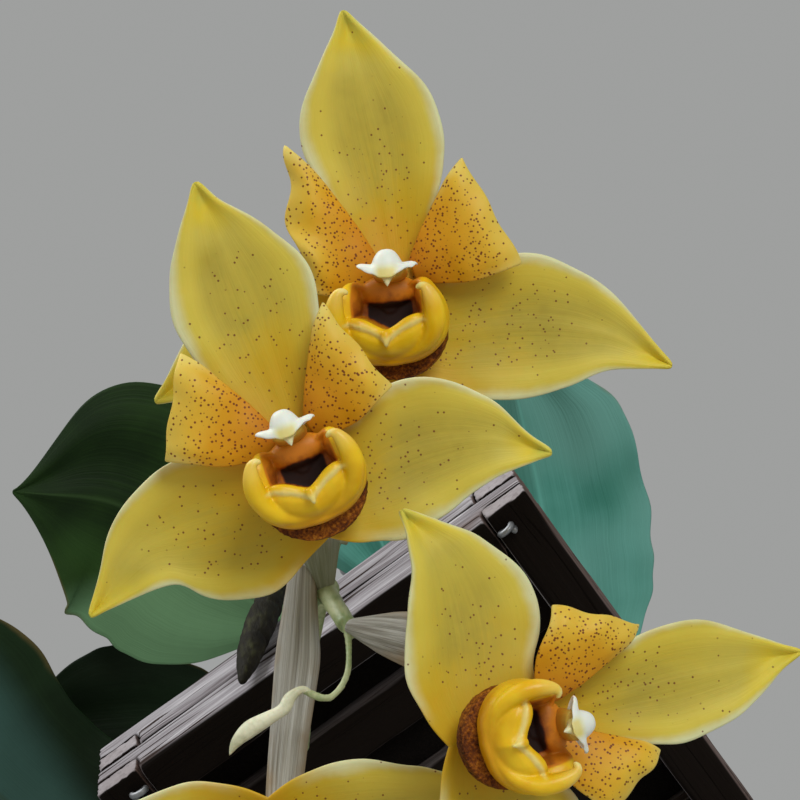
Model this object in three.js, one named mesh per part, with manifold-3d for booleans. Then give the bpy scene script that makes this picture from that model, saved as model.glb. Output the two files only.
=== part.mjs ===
// The orchid Stanhopea connata, in flower, in a hanging basket of wooden slats.
// Millimetres, +Z up. The origin is the top of the hook's inside, where a bar carries it. The basket hangs
// straight below it, and the flower stem comes out between two bottom slats and hangs down in front (-Y).
import * as THREE from "three";
import { mergeVertices } from "three/addons/utils/BufferGeometryUtils.js";
import Module from "manifold-3d";

const wasm = await Module();
wasm.setup();

const GAP = 0.3; // between pieces that touch or sit in each other

// Basket
const BASKET = 160; // outer side of the square
const SLAT_T = 15; // thickness of a slat
const SLAT_H = 23; // its height
const LAP = SLAT_H / 2; // slats cross at half their height
const SLAT_EDGE = 1.2; // chamfer on a slat's long edges
const LAYERS = 2;
const RIM_Z = -317;
const FLOOR_Z = RIM_Z - LAYERS * SLAT_H;
const INNER = BASKET / 2 - SLAT_T; // from the middle to a slat's inner face
const BOTTOM_SLATS = 4;
const WIRE_X = 70.5; // from the middle to a corner wire, along X
const WIRE_Y = 74.5; // and along Y
const WIRE_R = 1;
const WIRE_HOLE_R = 1.5;
const EYELET_R = 2.2; // to the middle of the wire that is bent into it

// Hook
const HOOK_R = 2; // radius of its rod
const BOW_R = 13; // middle of the rod to the middle of the bow
const BOW_Z = HOOK_R - BOW_R; // middle of the bow
const COLLAR_R = 8.5;
const COLLAR_TOP = -54;
const COLLAR_BOTTOM = -68;
const COLLAR_HOLE = 4.6; // from the axis to each wire's hole, along X and along Y
const COLLAR_DEPTH = 9;

// Growing moss
const MOSS_TOP = RIM_Z - 3;
const MOSS_HALF = INNER - GAP; // fits between the side slats
const MOSS_BOTTOM = FLOOR_Z + SLAT_H + GAP; // lies on the bottom slats
const BULB_SEAT_Z = MOSS_TOP - 3;

// Leaves
const LEAF_T = 0.9;
const STALK_R = 2.6;

// Flowers
const SEPAL_T = 1.0;
const PETAL_T = 0.9;
const BRACT_T = 0.7;
const HUB_R = 8.5;
const HUB_FRONT = 1.2;
const HUB_BACK = -2.8;
const LIP_Y = -9; // middle of the lip below the middle of the flower
const POUCH_BASE = HUB_FRONT + GAP;
const POUCH_TOP = 11.6;
const LIP_BASE = POUCH_TOP + GAP;

// The viewer that the blooms face looks up from below the front of the basket.
const RIGHT = new THREE.Vector3(0.8114, 0.5772, -0.0942);
const DOWN = new THREE.Vector3(-0.5835, 0.7882, -0.1964);
const AWAY = new THREE.Vector3(-0.0391, 0.2143, 0.976);

const at = (x, y, z) => new THREE.Vector3(x, y, z);
const flat = (x, y) => new THREE.Vector2(x, y);

// Solids

function body(points, faces) {
  const geometry = new THREE.BufferGeometry().setFromPoints(points);
  geometry.setIndex(faces.flat());
  return geometry;
}

function solid(geometry) {
  const bare = geometry.clone();
  bare.deleteAttribute("normal");
  bare.deleteAttribute("uv");
  const merged = mergeVertices(bare, 1e-4);
  return new wasm.Manifold(
    new wasm.Mesh({
      numProp: 3,
      vertProperties: new Float32Array(merged.attributes.position.array),
      triVerts: new Uint32Array(merged.index.array),
    }),
  );
}

function geometryOf(manifold) {
  const mesh = manifold.getMesh();
  const geometry = new THREE.BufferGeometry();
  geometry.setAttribute("position", new THREE.BufferAttribute(mesh.vertProperties, 3));
  geometry.setIndex(new THREE.BufferAttribute(mesh.triVerts, 1));
  return geometry;
}

const join = (...pieces) => geometryOf(pieces.map(solid).reduce((whole, next) => whole.add(next)));

const cut = (piece, ...tools) =>
  geometryOf(tools.map(solid).reduce((whole, tool) => whole.subtract(tool), solid(piece)));

// Closed body through a stack of rings with equally many points, each turning left as seen from ahead.
function loft(rings) {
  const sides = rings[0].length;
  const points = rings.flat();
  const faces = [];
  for (let ring = 0; ring + 1 < rings.length; ring++)
    for (let side = 0; side < sides; side++) {
      const a = ring * sides + side;
      const b = ring * sides + ((side + 1) % sides);
      faces.push([a, b, b + sides], [a, b + sides, a + sides]);
    }
  const middle = (ring) => ring.reduce((sum, p) => sum.add(p), at(0, 0, 0)).divideScalar(sides);
  const last = (rings.length - 1) * sides;
  const start = points.push(middle(rings[0])) - 1;
  const end = points.push(middle(rings.at(-1))) - 1;
  for (let side = 0; side < sides; side++) {
    const next = (side + 1) % sides;
    faces.push([start, next, side], [end, last + side, last + next]);
  }
  return body(points, faces);
}

function ring(centre, across, up, sides) {
  return Array.from({ length: sides }, (_, i) => {
    const turn = (2 * Math.PI * i) / sides;
    return centre.clone().addScaledVector(across, Math.cos(turn)).addScaledVector(up, Math.sin(turn));
  });
}

// Round rod through points, with a radius for each.
function rod(points, radii, sides = 8) {
  const rings = [];
  let across = null;
  points.forEach((p, i) => {
    const ahead = points[Math.min(i + 1, points.length - 1)].clone().sub(p).normalize();
    const behind = p.clone().sub(points[Math.max(i - 1, 0)]).normalize();
    const along = ahead.add(behind).normalize();
    const reference = across ?? (Math.abs(along.z) > 0.9 ? at(1, 0, 0) : at(0, 0, 1));
    across = reference.clone().addScaledVector(along, -reference.dot(along)).normalize();
    const up = along.clone().cross(across);
    const radius = Array.isArray(radii) ? radii[i] : radii;
    rings.push(
      ring(p, across.clone().multiplyScalar(radius), up.multiplyScalar(radius), sides),
    );
  });
  return loft(rings);
}

// Rod along a smooth curve and then straight through any tail points, its radius going evenly through
// the given values.
function stem(curve, radii, steps, sides = 8, tail = []) {
  const points = Array.from({ length: steps + 1 }, (_, i) => curve.getPointAt(i / steps)).concat(tail);
  return rod(points, points.map((_, i) => between(radii, i / (points.length - 1))), sides);
}

// Value at t, from 0 to 1, of a line through evenly spaced values.
function between(values, t) {
  const place = Math.min(Math.max(t, 0), 1) * (values.length - 1);
  const index = Math.min(Math.floor(place), values.length - 2);
  return values[index] + (values[index + 1] - values[index]) * (place - index);
}

// Closed body between two grids of points, the front one seen with rows going right and columns going up.
function sandwich(front, back, rows, columns) {
  const width = columns + 1;
  const below = front.length;
  const faces = [];
  for (let i = 0; i < rows; i++)
    for (let j = 0; j < columns; j++) {
      const a = i * width + j;
      const [b, c, d] = [a + width, a + width + 1, a + 1];
      faces.push([a, b, c], [a, c, d]);
      faces.push([below + a, below + c, below + b], [below + a, below + d, below + c]);
    }
  const edge = [];
  for (let i = 0; i < rows; i++) edge.push(i * width);
  for (let j = 0; j < columns; j++) edge.push(rows * width + j);
  for (let i = rows; i > 0; i--) edge.push(i * width + columns);
  for (let j = columns; j > 0; j--) edge.push(j);
  edge.forEach((p, i) => {
    const q = edge[(i + 1) % edge.length];
    faces.push([p, below + p, below + q], [p, below + q, q]);
  });
  return body([...front, ...back], faces);
}

// Closed blade of even thickness, where surface(u, v) is its middle, from 0 to 1 each way.
function blade(surface, rows, columns, thickness) {
  const STEP = 0.004;
  const front = [];
  const back = [];
  for (let i = 0; i <= rows; i++)
    for (let j = 0; j <= columns; j++) {
      const [u, v] = [i / rows, j / columns];
      const alongU = surface(Math.min(u + STEP, 1), v).sub(surface(Math.max(u - STEP, 0), v));
      const alongV = surface(u, Math.min(v + STEP, 1)).sub(surface(u, Math.max(v - STEP, 0)));
      const normal = alongU.cross(alongV).normalize();
      const middle = surface(u, v);
      front.push(middle.clone().addScaledVector(normal, thickness / 2));
      back.push(middle.clone().addScaledVector(normal, -thickness / 2));
    }
  return sandwich(front, back, rows, columns);
}

// Cylinder along Z between two heights.
function post(x, y, low, high, radius, sides = 10) {
  return new THREE.CylinderGeometry(radius, radius, high - low, sides)
    .rotateX(Math.PI / 2)
    .translate(x, y, (low + high) / 2);
}

function block(x0, x1, y0, y1, z0, z1) {
  return new THREE.BoxGeometry(x1 - x0, y1 - y0, z1 - z0).translate(
    (x0 + x1) / 2,
    (y0 + y1) / 2,
    (z0 + z1) / 2,
  );
}

const plant = new THREE.Group();

const finishes = {
  wood: new THREE.MeshStandardMaterial({ color: 0x8d8580, roughness: 0.85 }),
  wire: new THREE.MeshStandardMaterial({ color: 0x8f9396, roughness: 0.4, metalness: 1 }),
  moss: new THREE.MeshStandardMaterial({ color: 0x57522f, roughness: 1 }),
  bulb: new THREE.MeshStandardMaterial({ color: 0x4f6b35, roughness: 0.6 }),
  leaf: new THREE.MeshStandardMaterial({ color: 0x3f7a5c, roughness: 0.45 }),
  shoot: new THREE.MeshStandardMaterial({ color: 0x3b3a26, roughness: 0.8 }),
  stem: new THREE.MeshStandardMaterial({ color: 0xa9b58a, roughness: 0.55 }),
  bract: new THREE.MeshStandardMaterial({ color: 0xb9ab95, roughness: 0.8 }),
  bud: new THREE.MeshStandardMaterial({ color: 0xc9c8a4, roughness: 0.6 }),
  sepal: new THREE.MeshStandardMaterial({ color: 0xe0c93c, roughness: 0.5 }),
  petal: new THREE.MeshStandardMaterial({ color: 0xe8a81e, roughness: 0.5 }),
  lip: new THREE.MeshStandardMaterial({ color: 0xf0b52a, roughness: 0.25 }),
  pouch: new THREE.MeshStandardMaterial({ color: 0x7a3a14, roughness: 0.6 }),
  column: new THREE.MeshStandardMaterial({ color: 0xe9ddb4, roughness: 0.45 }),
};

function piece(name, geometry, finish, parent = plant) {
  const mesh = new THREE.Mesh(geometry, finishes[finish].clone());
  mesh.name = name;
  parent.add(mesh);
  return mesh;
}

// Basket of slats, with a wire through each corner

// Slat along X, its section chamfered.
function slat(length, height) {
  const [halfH, halfT] = [height / 2, SLAT_T / 2];
  const [innerH, innerT] = [halfH - SLAT_EDGE, halfT - SLAT_EDGE];
  const section = new THREE.Shape([
    flat(innerH, -halfT),
    flat(halfH, -innerT),
    flat(halfH, innerT),
    flat(innerH, halfT),
    flat(-innerH, halfT),
    flat(-halfH, innerT),
    flat(-halfH, -innerT),
    flat(-innerH, -halfT),
  ]);
  return new THREE.ExtrudeGeometry(section, { depth: length, bevelEnabled: false })
    .translate(0, 0, -length / 2)
    .rotateY(Math.PI / 2);
}

const slatPitch = (BASKET - SLAT_T) / (BOTTOM_SLATS + 1);
const bottomPlaces = Array.from(
  { length: BOTTOM_SLATS },
  (_, i) => (i + 1) * slatPitch - (BASKET - SLAT_T) / 2,
);

// Wall slat along X, halved at its ends: a left or right one from above, a front or back one from below.
// The lowest left and right ones have notches for the bottom slats too.
function wallSlat(alongY, layer) {
  const [low, high] = alongY ? [0, SLAT_H] : [-SLAT_H, 0];
  const notch = (x0, x1) => block(x0, x1, -SLAT_T, SLAT_T, low, high);
  const [holeX, holeOut] = alongY ? [WIRE_Y, WIRE_X] : [WIRE_X, WIRE_Y];
  const holeY = holeOut - INNER - SLAT_T / 2;
  const tools = [];
  for (const side of [-1, 1]) {
    const ends = [side * (INNER - GAP), side * BASKET].sort((a, b) => a - b);
    tools.push(notch(...ends), post(side * holeX, holeY, -SLAT_H, SLAT_H, WIRE_HOLE_R, 8));
  }
  const half = SLAT_T / 2 + GAP;
  if (alongY && layer === 1)
    for (const place of bottomPlaces) tools.push(notch(place - half, place + half));
  return cut(slat(BASKET, SLAT_H), ...tools);
}

const walls = [
  ["front", Math.PI],
  ["left", Math.PI / 2],
  ["back", 0],
  ["right", -Math.PI / 2],
];
for (let layer = 1; layer <= LAYERS; layer++)
  for (const [place, turn] of walls) {
    const alongY = place === "left" || place === "right";
    const mesh = piece(`slat_${layer}_${place}`, wallSlat(alongY, layer), "wood");
    const out = INNER + SLAT_T / 2;
    mesh.rotation.z = turn;
    mesh.position.set(-out * Math.sin(turn), out * Math.cos(turn), FLOOR_Z + (layer - 0.5) * SLAT_H);
  }

bottomPlaces.forEach((y, i) => {
  const mesh = piece(`bottom_slat_${i + 1}`, slat(BASKET, LAP), "wood");
  mesh.position.set(0, y, FLOOR_Z + 1.5 * LAP);
});

const corners = [
  ["front_left", -1, -1],
  ["front_right", 1, -1],
  ["back_right", 1, 1],
  ["back_left", -1, 1],
];

for (const [place, x, y] of corners) {
  const low = FLOOR_Z - GAP - WIRE_R;
  const eyelet = new THREE.TorusGeometry(EYELET_R, WIRE_R, 6, 12);
  eyelet.translate(x * (WIRE_X - EYELET_R), y * WIRE_Y, low);
  const [near, far] = [x * COLLAR_HOLE, y * COLLAR_HOLE];
  const run = rod(
    [
      at(x * WIRE_X, y * WIRE_Y, low - 0.2),
      at(x * WIRE_X, y * WIRE_Y, RIM_Z + 2),
      at(x * (WIRE_X - 1), y * (WIRE_Y - 1), RIM_Z + 6),
      at(near + x, far + y, COLLAR_BOTTOM - 7),
      at(near, far, COLLAR_BOTTOM - 3),
      at(near, far, COLLAR_BOTTOM + COLLAR_DEPTH - GAP),
    ],
    WIRE_R,
  );
  piece(`wire_${place}`, join(eyelet, run), "wire");
}

function hook() {
  const arc = [];
  for (let degrees = -20; degrees <= 215; degrees += 23.5) {
    const turn = THREE.MathUtils.degToRad(degrees);
    arc.push(at(BOW_R * Math.cos(turn), 0, BOW_Z + BOW_R * Math.sin(turn)));
  }
  const shank = [at(0, 0, COLLAR_TOP - 2), at(0, 0, -38), at(1.5, 0, -32), at(8, 0, -22)];
  const bow = rod([...shank, ...arc], HOOK_R);
  const collar = post(0, 0, COLLAR_BOTTOM, COLLAR_TOP, COLLAR_R, 16);
  const holes = corners.map(([, x, y]) =>
    post(x * COLLAR_HOLE, y * COLLAR_HOLE, COLLAR_BOTTOM - 1, COLLAR_BOTTOM + COLLAR_DEPTH, WIRE_HOLE_R, 8),
  );
  return join(cut(collar, ...holes), bow);
}

piece("hook", hook(), "wire");

// Plant: bulbs on a rhizome, each with one leaf on a stalk

// Each leaf: its bulb's place, then the points of its midrib from the stalk's top to the tip, the half
// widths of the blade from base to tip, and how far its sides rise (+) or droop (-) at the widest.
const leaves = [
  {
    name: "leaf_front_left",
    bulb: [-14, -28],
    rib: [[-22, -46, -206], [-29, -67, -198], [-36, -94, -197], [-46, -121, -201], [-71, -147, -210]],
    halves: [6, 44, 47, 41, 0.5],
    sides: 4,
  },
  {
    name: "leaf_right",
    bulb: [46, 22],
    rib: [[50, 42, -204], [60, 14, -184], [79, -22, -174], [91, -53, -180], [102, -85, -196]],
    halves: [20, 38, 40, 34, 0.5],
    sides: -3,
  },
  {
    name: "leaf_left",
    bulb: [-48, 20],
    rib: [[-72, 14, -222], [-112, 2, -209], [-142, -46, -203], [-143, -106, -207], [-122, -166, -222]],
    halves: [5, 32, 42, 41, 0.5],
    sides: 3,
  },
  {
    name: "leaf_left_back",
    bulb: [-38, -14],
    rib: [[-48, -12, -206], [-66, -18, -188], [-92, -34, -178], [-118, -52, -180], [-140, -70, -190]],
    halves: [5, 24, 38, 32, 0.5],
    sides: -4,
  },
  {
    name: "leaf_front",
    bulb: [18, -22],
    rib: [[19, -34, -222], [24, -54, -212], [33, -84, -208], [43, -114, -213], [54, -142, -226]],
    halves: [5, 26, 36, 31, 0.5],
    sides: 3,
  },
  {
    name: "leaf_back",
    bulb: [14, 34],
    rib: [[13, 46, -218], [10, 72, -200], [4, 112, -194], [-3, 152, -206], [-8, 184, -226]],
    halves: [5, 34, 45, 38, 0.5],
    sides: 5,
  },
  {
    name: "leaf_back_left",
    bulb: [-28, 44],
    rib: [[-34, 52, -200], [-48, 70, -176], [-72, 98, -164], [-96, 126, -172], [-114, 150, -192]],
    halves: [5, 32, 43, 36, 0.5],
    sides: 5,
  },
];

const BULB_R = 12.5;
const BULB_H = 46;
const BULB_NECK_R = 4.2;
const RIBS = 6;
const FURROW = 0.88; // a bulb's radius between two ribs, as a share of that on a rib

function bulb([x, y]) {
  const profile = [0.62, 0.9, 1, 0.93, 0.72, BULB_NECK_R / BULB_R];
  const level = (share, z) =>
    Array.from({ length: 2 * RIBS }, (_, i) => {
      const radius = BULB_R * share * (i % 2 ? FURROW : 1);
      const turn = (Math.PI * i) / RIBS;
      return at(x + radius * Math.cos(turn), y + radius * Math.sin(turn), z);
    });
  const step = BULB_H / (profile.length - 1);
  return loft(profile.map((share, i) => level(share, BULB_SEAT_Z + GAP + i * step)));
}

// The rhizome passes through the bulbs in the order in which they grew.
const growth = [
  "leaf_back",
  "leaf_back_left",
  "leaf_left",
  "leaf_left_back",
  "leaf_front_left",
  "leaf_front",
  "leaf_right",
];
const bulbPlaces = growth.map((name) => leaves.find((leaf) => leaf.name === name).bulb);
const RHIZOME_Z = MOSS_TOP + 7;
const RHIZOME_R = 4.5;
const rhizome = rod(bulbPlaces.map(([x, y]) => at(x, y, RHIZOME_Z)), RHIZOME_R, 8);
piece("bulbs", join(rhizome, ...bulbPlaces.map(bulb)), "bulb");

const PLEATS = 3; // folds each side of the midrib
const PLEAT_DEPTH = 1.3;

function leaf({ bulb: [x, y], rib, halves, sides }) {
  const midrib = new THREE.CatmullRomCurve3(rib.map((p) => at(...p)));
  const acrossAt = (u) => midrib.getTangentAt(u).cross(at(0, 0, 1)).normalize();
  const surface = (u, v) => {
    const across = acrossAt(u);
    const up = across.clone().cross(midrib.getTangentAt(u));
    const side = 2 * v - 1;
    const half = halfWidth(halves, u);
    const fold = Math.abs(((PLEATS * Math.abs(side) + 1) % 2) - 1) - 0.5;
    const lift = sides * side * side * Math.sin(Math.PI * u) + PLEAT_DEPTH * fold * Math.min(1, half / 20);
    return midrib.getPointAt(u).addScaledVector(across, side * half).addScaledVector(up, lift);
  };
  const foot = at(x, y, BULB_SEAT_Z + 2 * GAP + BULB_H);
  const stalk = new THREE.CatmullRomCurve3([
    foot,
    at(x, y, foot.z + 14),
    midrib.getPointAt(0),
    midrib.getPointAt(0.14),
  ]);
  return join(blade(surface, 8, 2 * PLEATS, LEAF_T), stem(stalk, [3.4, STALK_R, STALK_R, 1.4], 6, 6));
}

// Smooth outline through the half widths.
function halfWidth(halves, u) {
  const points = halves.map((half, i) => flat(i / (halves.length - 1), half));
  return Math.max(new THREE.SplineCurve(points).getPoint(u).y, 0.4);
}

for (const each of leaves) piece(each.name, leaf(each), "leaf");

// Moss, its top in low hummocks round the bulbs, with holes where bulbs, flower stem and shoot stand

const STEM_EXIT = at(-22, -58, FLOOR_Z + 1);
const STEM_MIDDLE = at(-22, -58, FLOOR_Z + 21);
const STEM_FOOT = at(-22, -58, FLOOR_Z + 35);
const STEM_R = 3.3;
const HOLE_TOP = RIM_Z + 20; // above the moss's highest hummock

// Old leafless shoot, rooted in the moss, that hangs over the front rim and down outside it
const SHOOT_HOLE_R = 5;
const shootPoints = [
  at(5, -55, MOSS_TOP - 6),
  at(5, -56.5, RIM_Z + 1),
  at(3, -64, RIM_Z + 16),
  at(0, -76, RIM_Z + 19.5),
  at(-3.6, -85.4, RIM_Z + 13),
  at(-6.8, -86.2, RIM_Z + 5),
  at(-9.6, -86.2, RIM_Z - 6),
  at(-13, -86.2, RIM_Z - 18),
  at(-16.6, -86, RIM_Z - 32),
  at(-20.2, -85.2, RIM_Z - 45),
  at(-22.6, -84.4, RIM_Z - 53),
];
const shootRadii = [3.6, 3.6, 3.7, 3.8, 4, 4.4, 4.7, 4.7, 4.3, 3.3, 1.4];

function moss() {
  const CELLS = 7;
  const HUMMOCK = 5;
  const top = (u, v) => {
    const inside = Math.min(1, 3 * Math.sin(Math.PI * u) * Math.sin(Math.PI * v));
    return MOSS_TOP - 2 + HUMMOCK * inside * (0.5 + 0.5 * Math.sin(9 * u + 5 * v) * Math.cos(7 * v - 3 * u));
  };
  const grid = (height) =>
    Array.from({ length: (CELLS + 1) ** 2 }, (_, i) => {
      const [u, v] = [Math.floor(i / (CELLS + 1)) / CELLS, (i % (CELLS + 1)) / CELLS];
      return at((2 * u - 1) * MOSS_HALF, (2 * v - 1) * MOSS_HALF, height(u, v));
    });
  const bed = sandwich(grid(top), grid(() => MOSS_BOTTOM), CELLS, CELLS);
  const bulbHoles = bulbPlaces.map(([x, y]) => post(x, y, BULB_SEAT_Z, HOLE_TOP, BULB_R + GAP, 12));
  const rhizomeBed = rod(bulbPlaces.map(([x, y]) => at(x, y, RHIZOME_Z)), RHIZOME_R + GAP, 8);
  const stemHole = post(STEM_FOOT.x, STEM_FOOT.y, MOSS_BOTTOM - 1, STEM_FOOT.z + GAP, STEM_R + GAP, 8);
  const { x, y, z } = shootPoints[0];
  const shootHole = post(x, y - 0.5, z - 1, HOLE_TOP, SHOOT_HOLE_R, 8);
  return cut(bed, ...bulbHoles, rhizomeBed, stemHole, shootHole);
}

piece("moss", moss(), "moss");
piece("old_shoot", rod(shootPoints, shootRadii, 8), "shoot");

// Blooms, each in a frame of its own: X right, Y towards the dorsal sepal, Z towards the viewer

// Each bloom: its middle, the direction in which its lip hangs as seen by the viewer (right, down), how
// far it leans back towards its dorsal sepal, and its size. Next, how far lip, pouch and column shift to
// the right and up for each mm that they rise, and their width. Then how its dorsal sepal (turned to the
// left) and its side sepals (drooping) differ in degrees, length, width and the bend of the tip to the left,
// and where the outer corners of its petals are, the upper one first.
const blooms = [
  {
    name: "bloom_1",
    middle: at(41.9, -153.3, -470.5),
    hangs: [0.363, 0.932],
    shift: [-0.02, 0],
    dorsal: { length: 0.97 },
    right: { turn: 2.6, length: 0.97 },
    left: {
      turn: -2.3,
      length: 1.036,
      lower: [
        [-1, -23], [7, -27], [14, -31], [24.6, -31.4],
        [33.6, -27.4], [39.5, -21.8], [50, -21.2], [62.4, -22.4],
      ],
    },
    petals: { right: [[18.8, 33], [27, 9.3]], left: [[19.4, 34], [33, 9.6]] },
  },
  {
    name: "bloom_2",
    middle: at(85.1, -162.5, -415.5),
    hangs: [0.081, 0.997],
    size: 1.05,
    shift: [-0.17, -0.09],
    dorsal: { turn: 3.2, length: 0.975, bend: 4.4 },
    right: { turn: 1, length: 1.13 },
    left: { turn: 1, length: 1.057 },
    petals: { left: [[25, 39.4], [23.7, 8.6]] },
  },
  {
    name: "bloom_3",
    middle: at(50.3, -68.1, -499.1),
    hangs: [-0.968, 0.249],
    lean: 20,
    shift: [0.04, -0.08],
    narrow: 0.93,
    dorsal: { turn: -2, length: 1.01, width: 0.82 },
    left: { turn: -2.2, length: 0.945 },
    petals: { left: [[16.3, 33], [27.4, 11]], right: [[16, 30], [27.4, 11]] },
    stalkBend: [-11, -2],
  },
  { name: "bloom_4", middle: at(-27.1, -68.2, -491.9), hangs: [-0.139, -0.99], stalkBend: [2.8, -2] },
];

for (const bloom of blooms) {
  const [right, down] = bloom.hangs;
  const dorsal = RIGHT.clone().multiplyScalar(-right).addScaledVector(DOWN, -down).normalize();
  const across = dorsal.clone().cross(AWAY.clone().negate());
  bloom.frame = new THREE.Matrix4()
    .makeBasis(across, dorsal, AWAY.clone().negate())
    .multiply(new THREE.Matrix4().makeRotationX(THREE.MathUtils.degToRad(-(bloom.lean ?? 0))));
}

const plane = (points) => new THREE.SplineCurve(points.map(([x, y]) => flat(x, y)));

// Surface between two margins, with its height given by lift(u, v).
const spanned = (first, second, lift) => (u, v) => {
  const p = first.getPointAt(u).lerp(second.getPointAt(u), v);
  return at(p.x, p.y, lift(u, v));
};

const DORSAL = [[7, -1], [10, 11], [16.4, 30], [18.7, 42], [16.4, 52], [8.3, 64], [4.1, 69.5], [0.4, 75]];
const SIDE_UPPER = [[-1, 3.5], [13, 3], [23, 7.5], [33, 8], [43, 4], [51, -3], [56, -11], [62.6, -21.6]];
const SIDE_LOWER = [
  [-1, -23], [6, -27], [13, -29], [21, -30],
  [30, -28.5], [38, -26], [48, -22.6], [62.4, -22.4],
];
const SIDE_AXIS = flat(62.5, -22).normalize();

const SEPAL_REACH = 75;

// Margin of a sepal that points along axis, made longer, wider and turned to the left by degrees.
function grown(margin, axis, { turn = 0, length = 1, width = 1, bend = 0 } = {}) {
  return margin.map(([x, y]) => {
    const along = length * axis.dot(flat(x, y));
    const aside = width * axis.cross(flat(x, y)) + bend * Math.max(0, along / SEPAL_REACH) ** 3;
    return flat(along * axis.x - aside * axis.y, along * axis.y + aside * axis.x)
      .rotateAround(flat(0, 0), THREE.MathUtils.degToRad(turn))
      .toArray();
  });
}

function sepals({ dorsal, right, left }) {
  const mirrored = (points) => points.map(([x, y]) => [-x, y]);
  const cupped = (depth, rise) => (u, v) =>
    rise * u * u - depth * Math.sin(Math.PI * Math.min(1, 0.08 + u)) * (1 - (2 * v - 1) ** 2);
  const drooping = (change = {}) => ({ ...change, turn: -(change.turn ?? 0) });
  const top = (margin) => plane(grown(margin, flat(0, 1), dorsal));
  const side = (flip, change) =>
    [SIDE_UPPER, change?.lower ?? SIDE_LOWER].map((margin) =>
      plane(flip(grown(margin, SIDE_AXIS, drooping(change)))),
    );
  return join(
    blade(spanned(top(DORSAL), top(mirrored(DORSAL)), cupped(4, 4)), 7, 4, SEPAL_T),
    blade(spanned(...side((points) => points, right), cupped(4, -3)), 7, 4, SEPAL_T),
    blade(spanned(...side(mirrored, left), cupped(4, -3)), 7, 4, SEPAL_T),
    post(0, -2, HUB_BACK, HUB_FRONT, HUB_R, 12),
  );
}

// Petal to one side (-1 left, 1 right), with its outer edge between two corners.
function petal(side, [upper, lower] = [[19.5, 32.5], [33, 7.5]]) {
  const margin = (from, to, bows) => {
    const bowed = bows.map(([share, bow]) => [
      from[0] + share * (to[0] - from[0]) + bow,
      from[1] + share * (to[1] - from[1]),
    ]);
    return plane([from, ...bowed, to].map(([x, y]) => [side * x, y]));
  };
  const inner = margin([3.8, 6.8], upper, [[0.3, -1.2], [0.63, -1.4], [0.82, -1.4]]);
  const outer = margin([5, 0.8], lower, [[0.2, 0.8], [0.5, -0.2], [0.8, -1.6]]);
  const RISE = 7;
  const ROLL = 56;
  const BULGE = 3;
  const seat = HUB_FRONT + GAP + PETAL_T / 2;
  const height = (u) => seat + RISE * u - ROLL * Math.max(0, u - 0.75) ** 2;
  const sheet = spanned(inner, outer, (u, v) => height(u) + 1.2 * Math.sin(Math.PI * v));
  const surface = (u, v) => sheet(u, v).add(at(side * BULGE * u ** 3 * Math.sin(Math.PI * v), 0, 0));
  return blade(surface, 6, 3, PETAL_T);
}

// The lip's outlines and heights, each list going round from its foot to its top at the column.
const LIP_SIDES = 22;
const LIP_OUTLINE = [10, 10.2, 11.3, 12.6, 14, 14.9, 15.3, 15.3, 14.9, 8.6, 7.8];
const LIP_CREST = [18.5, 18.8, 19.8, 21, 22.6, 24, 25.4, 26.2, 25, 13.8, 13.4];
const LIP_BOWL_Z = [16.5, 15.6, 14.8, 14.6, 15, 16.2, 18.5, 19.5, 18, 13.7, 13.3];
const LIP_RIDGE = [6.2, 5.1, 4.8, 5, 5.9, 7.6, 9.6, 10.4, 9.6, 4.8, 4.4];
const LIP_RIDGE_Z = [24, 20.6, 19.6, 19.6, 19.8, 19.2, 18, 17, 16, 13.6, 13.2];
const LIP_RIM = 2.6; // thickness of the lip's rolled rim
const POUCH_OUTLINE = [14, 14.1, 14.2, 14.2, 14, 13.6, 13, 12, 10.6, 8, 7.2];

// Ring round the lip's middle, from the radius and height at each place between foot (0) and top (1).
function lipRing(sides, radiusAt, heightAt) {
  return Array.from({ length: sides }, (_, i) => {
    const turn = (2 * Math.PI * i) / sides;
    const place = Math.acos(-Math.sin(turn)) / Math.PI;
    const radius = radiusAt(place);
    return at(radius * Math.cos(turn), LIP_Y + radius * Math.sin(turn), heightAt(place));
  });
}

function lip() {
  const outline = (t) => between(LIP_OUTLINE, t);
  const crest = (t) => between(LIP_CREST, t);
  const ridge = (t) => between(LIP_RIDGE, t);
  const ridgeZ = (t) => between(LIP_RIDGE_Z, t);
  const bowlR = (t) => (ridge(t) + outline(t) - LIP_RIM) / 2;
  const wall = (share) => (t) => LIP_BASE + (crest(t) - LIP_BASE) * share;
  return loft([
    lipRing(LIP_SIDES, (t) => 0.9 * outline(t), () => LIP_BASE),
    lipRing(LIP_SIDES, outline, wall(0.4)),
    lipRing(LIP_SIDES, (t) => outline(t) - 0.2, wall(0.85)),
    lipRing(LIP_SIDES, (t) => outline(t) - LIP_RIM / 2, crest),
    lipRing(LIP_SIDES, (t) => outline(t) - LIP_RIM, wall(0.85)),
    lipRing(LIP_SIDES, bowlR, (t) => between(LIP_BOWL_Z, t)),
    lipRing(LIP_SIDES, ridge, ridgeZ),
    lipRing(LIP_SIDES, (t) => ridge(t) - 1.5, (t) => ridgeZ(t) - 1.5),
    lipRing(LIP_SIDES, (t) => 0.55 * (ridge(t) - 1.5), () => LIP_BASE + 1),
  ]);
}

function pouch() {
  const level = (share, z) => lipRing(20, (t) => share * between(POUCH_OUTLINE, t), () => z);
  return loft([level(0.5, POUCH_BASE), level(0.85, 4), level(1, 7.5), level(0.95, POUCH_TOP)]);
}

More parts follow.
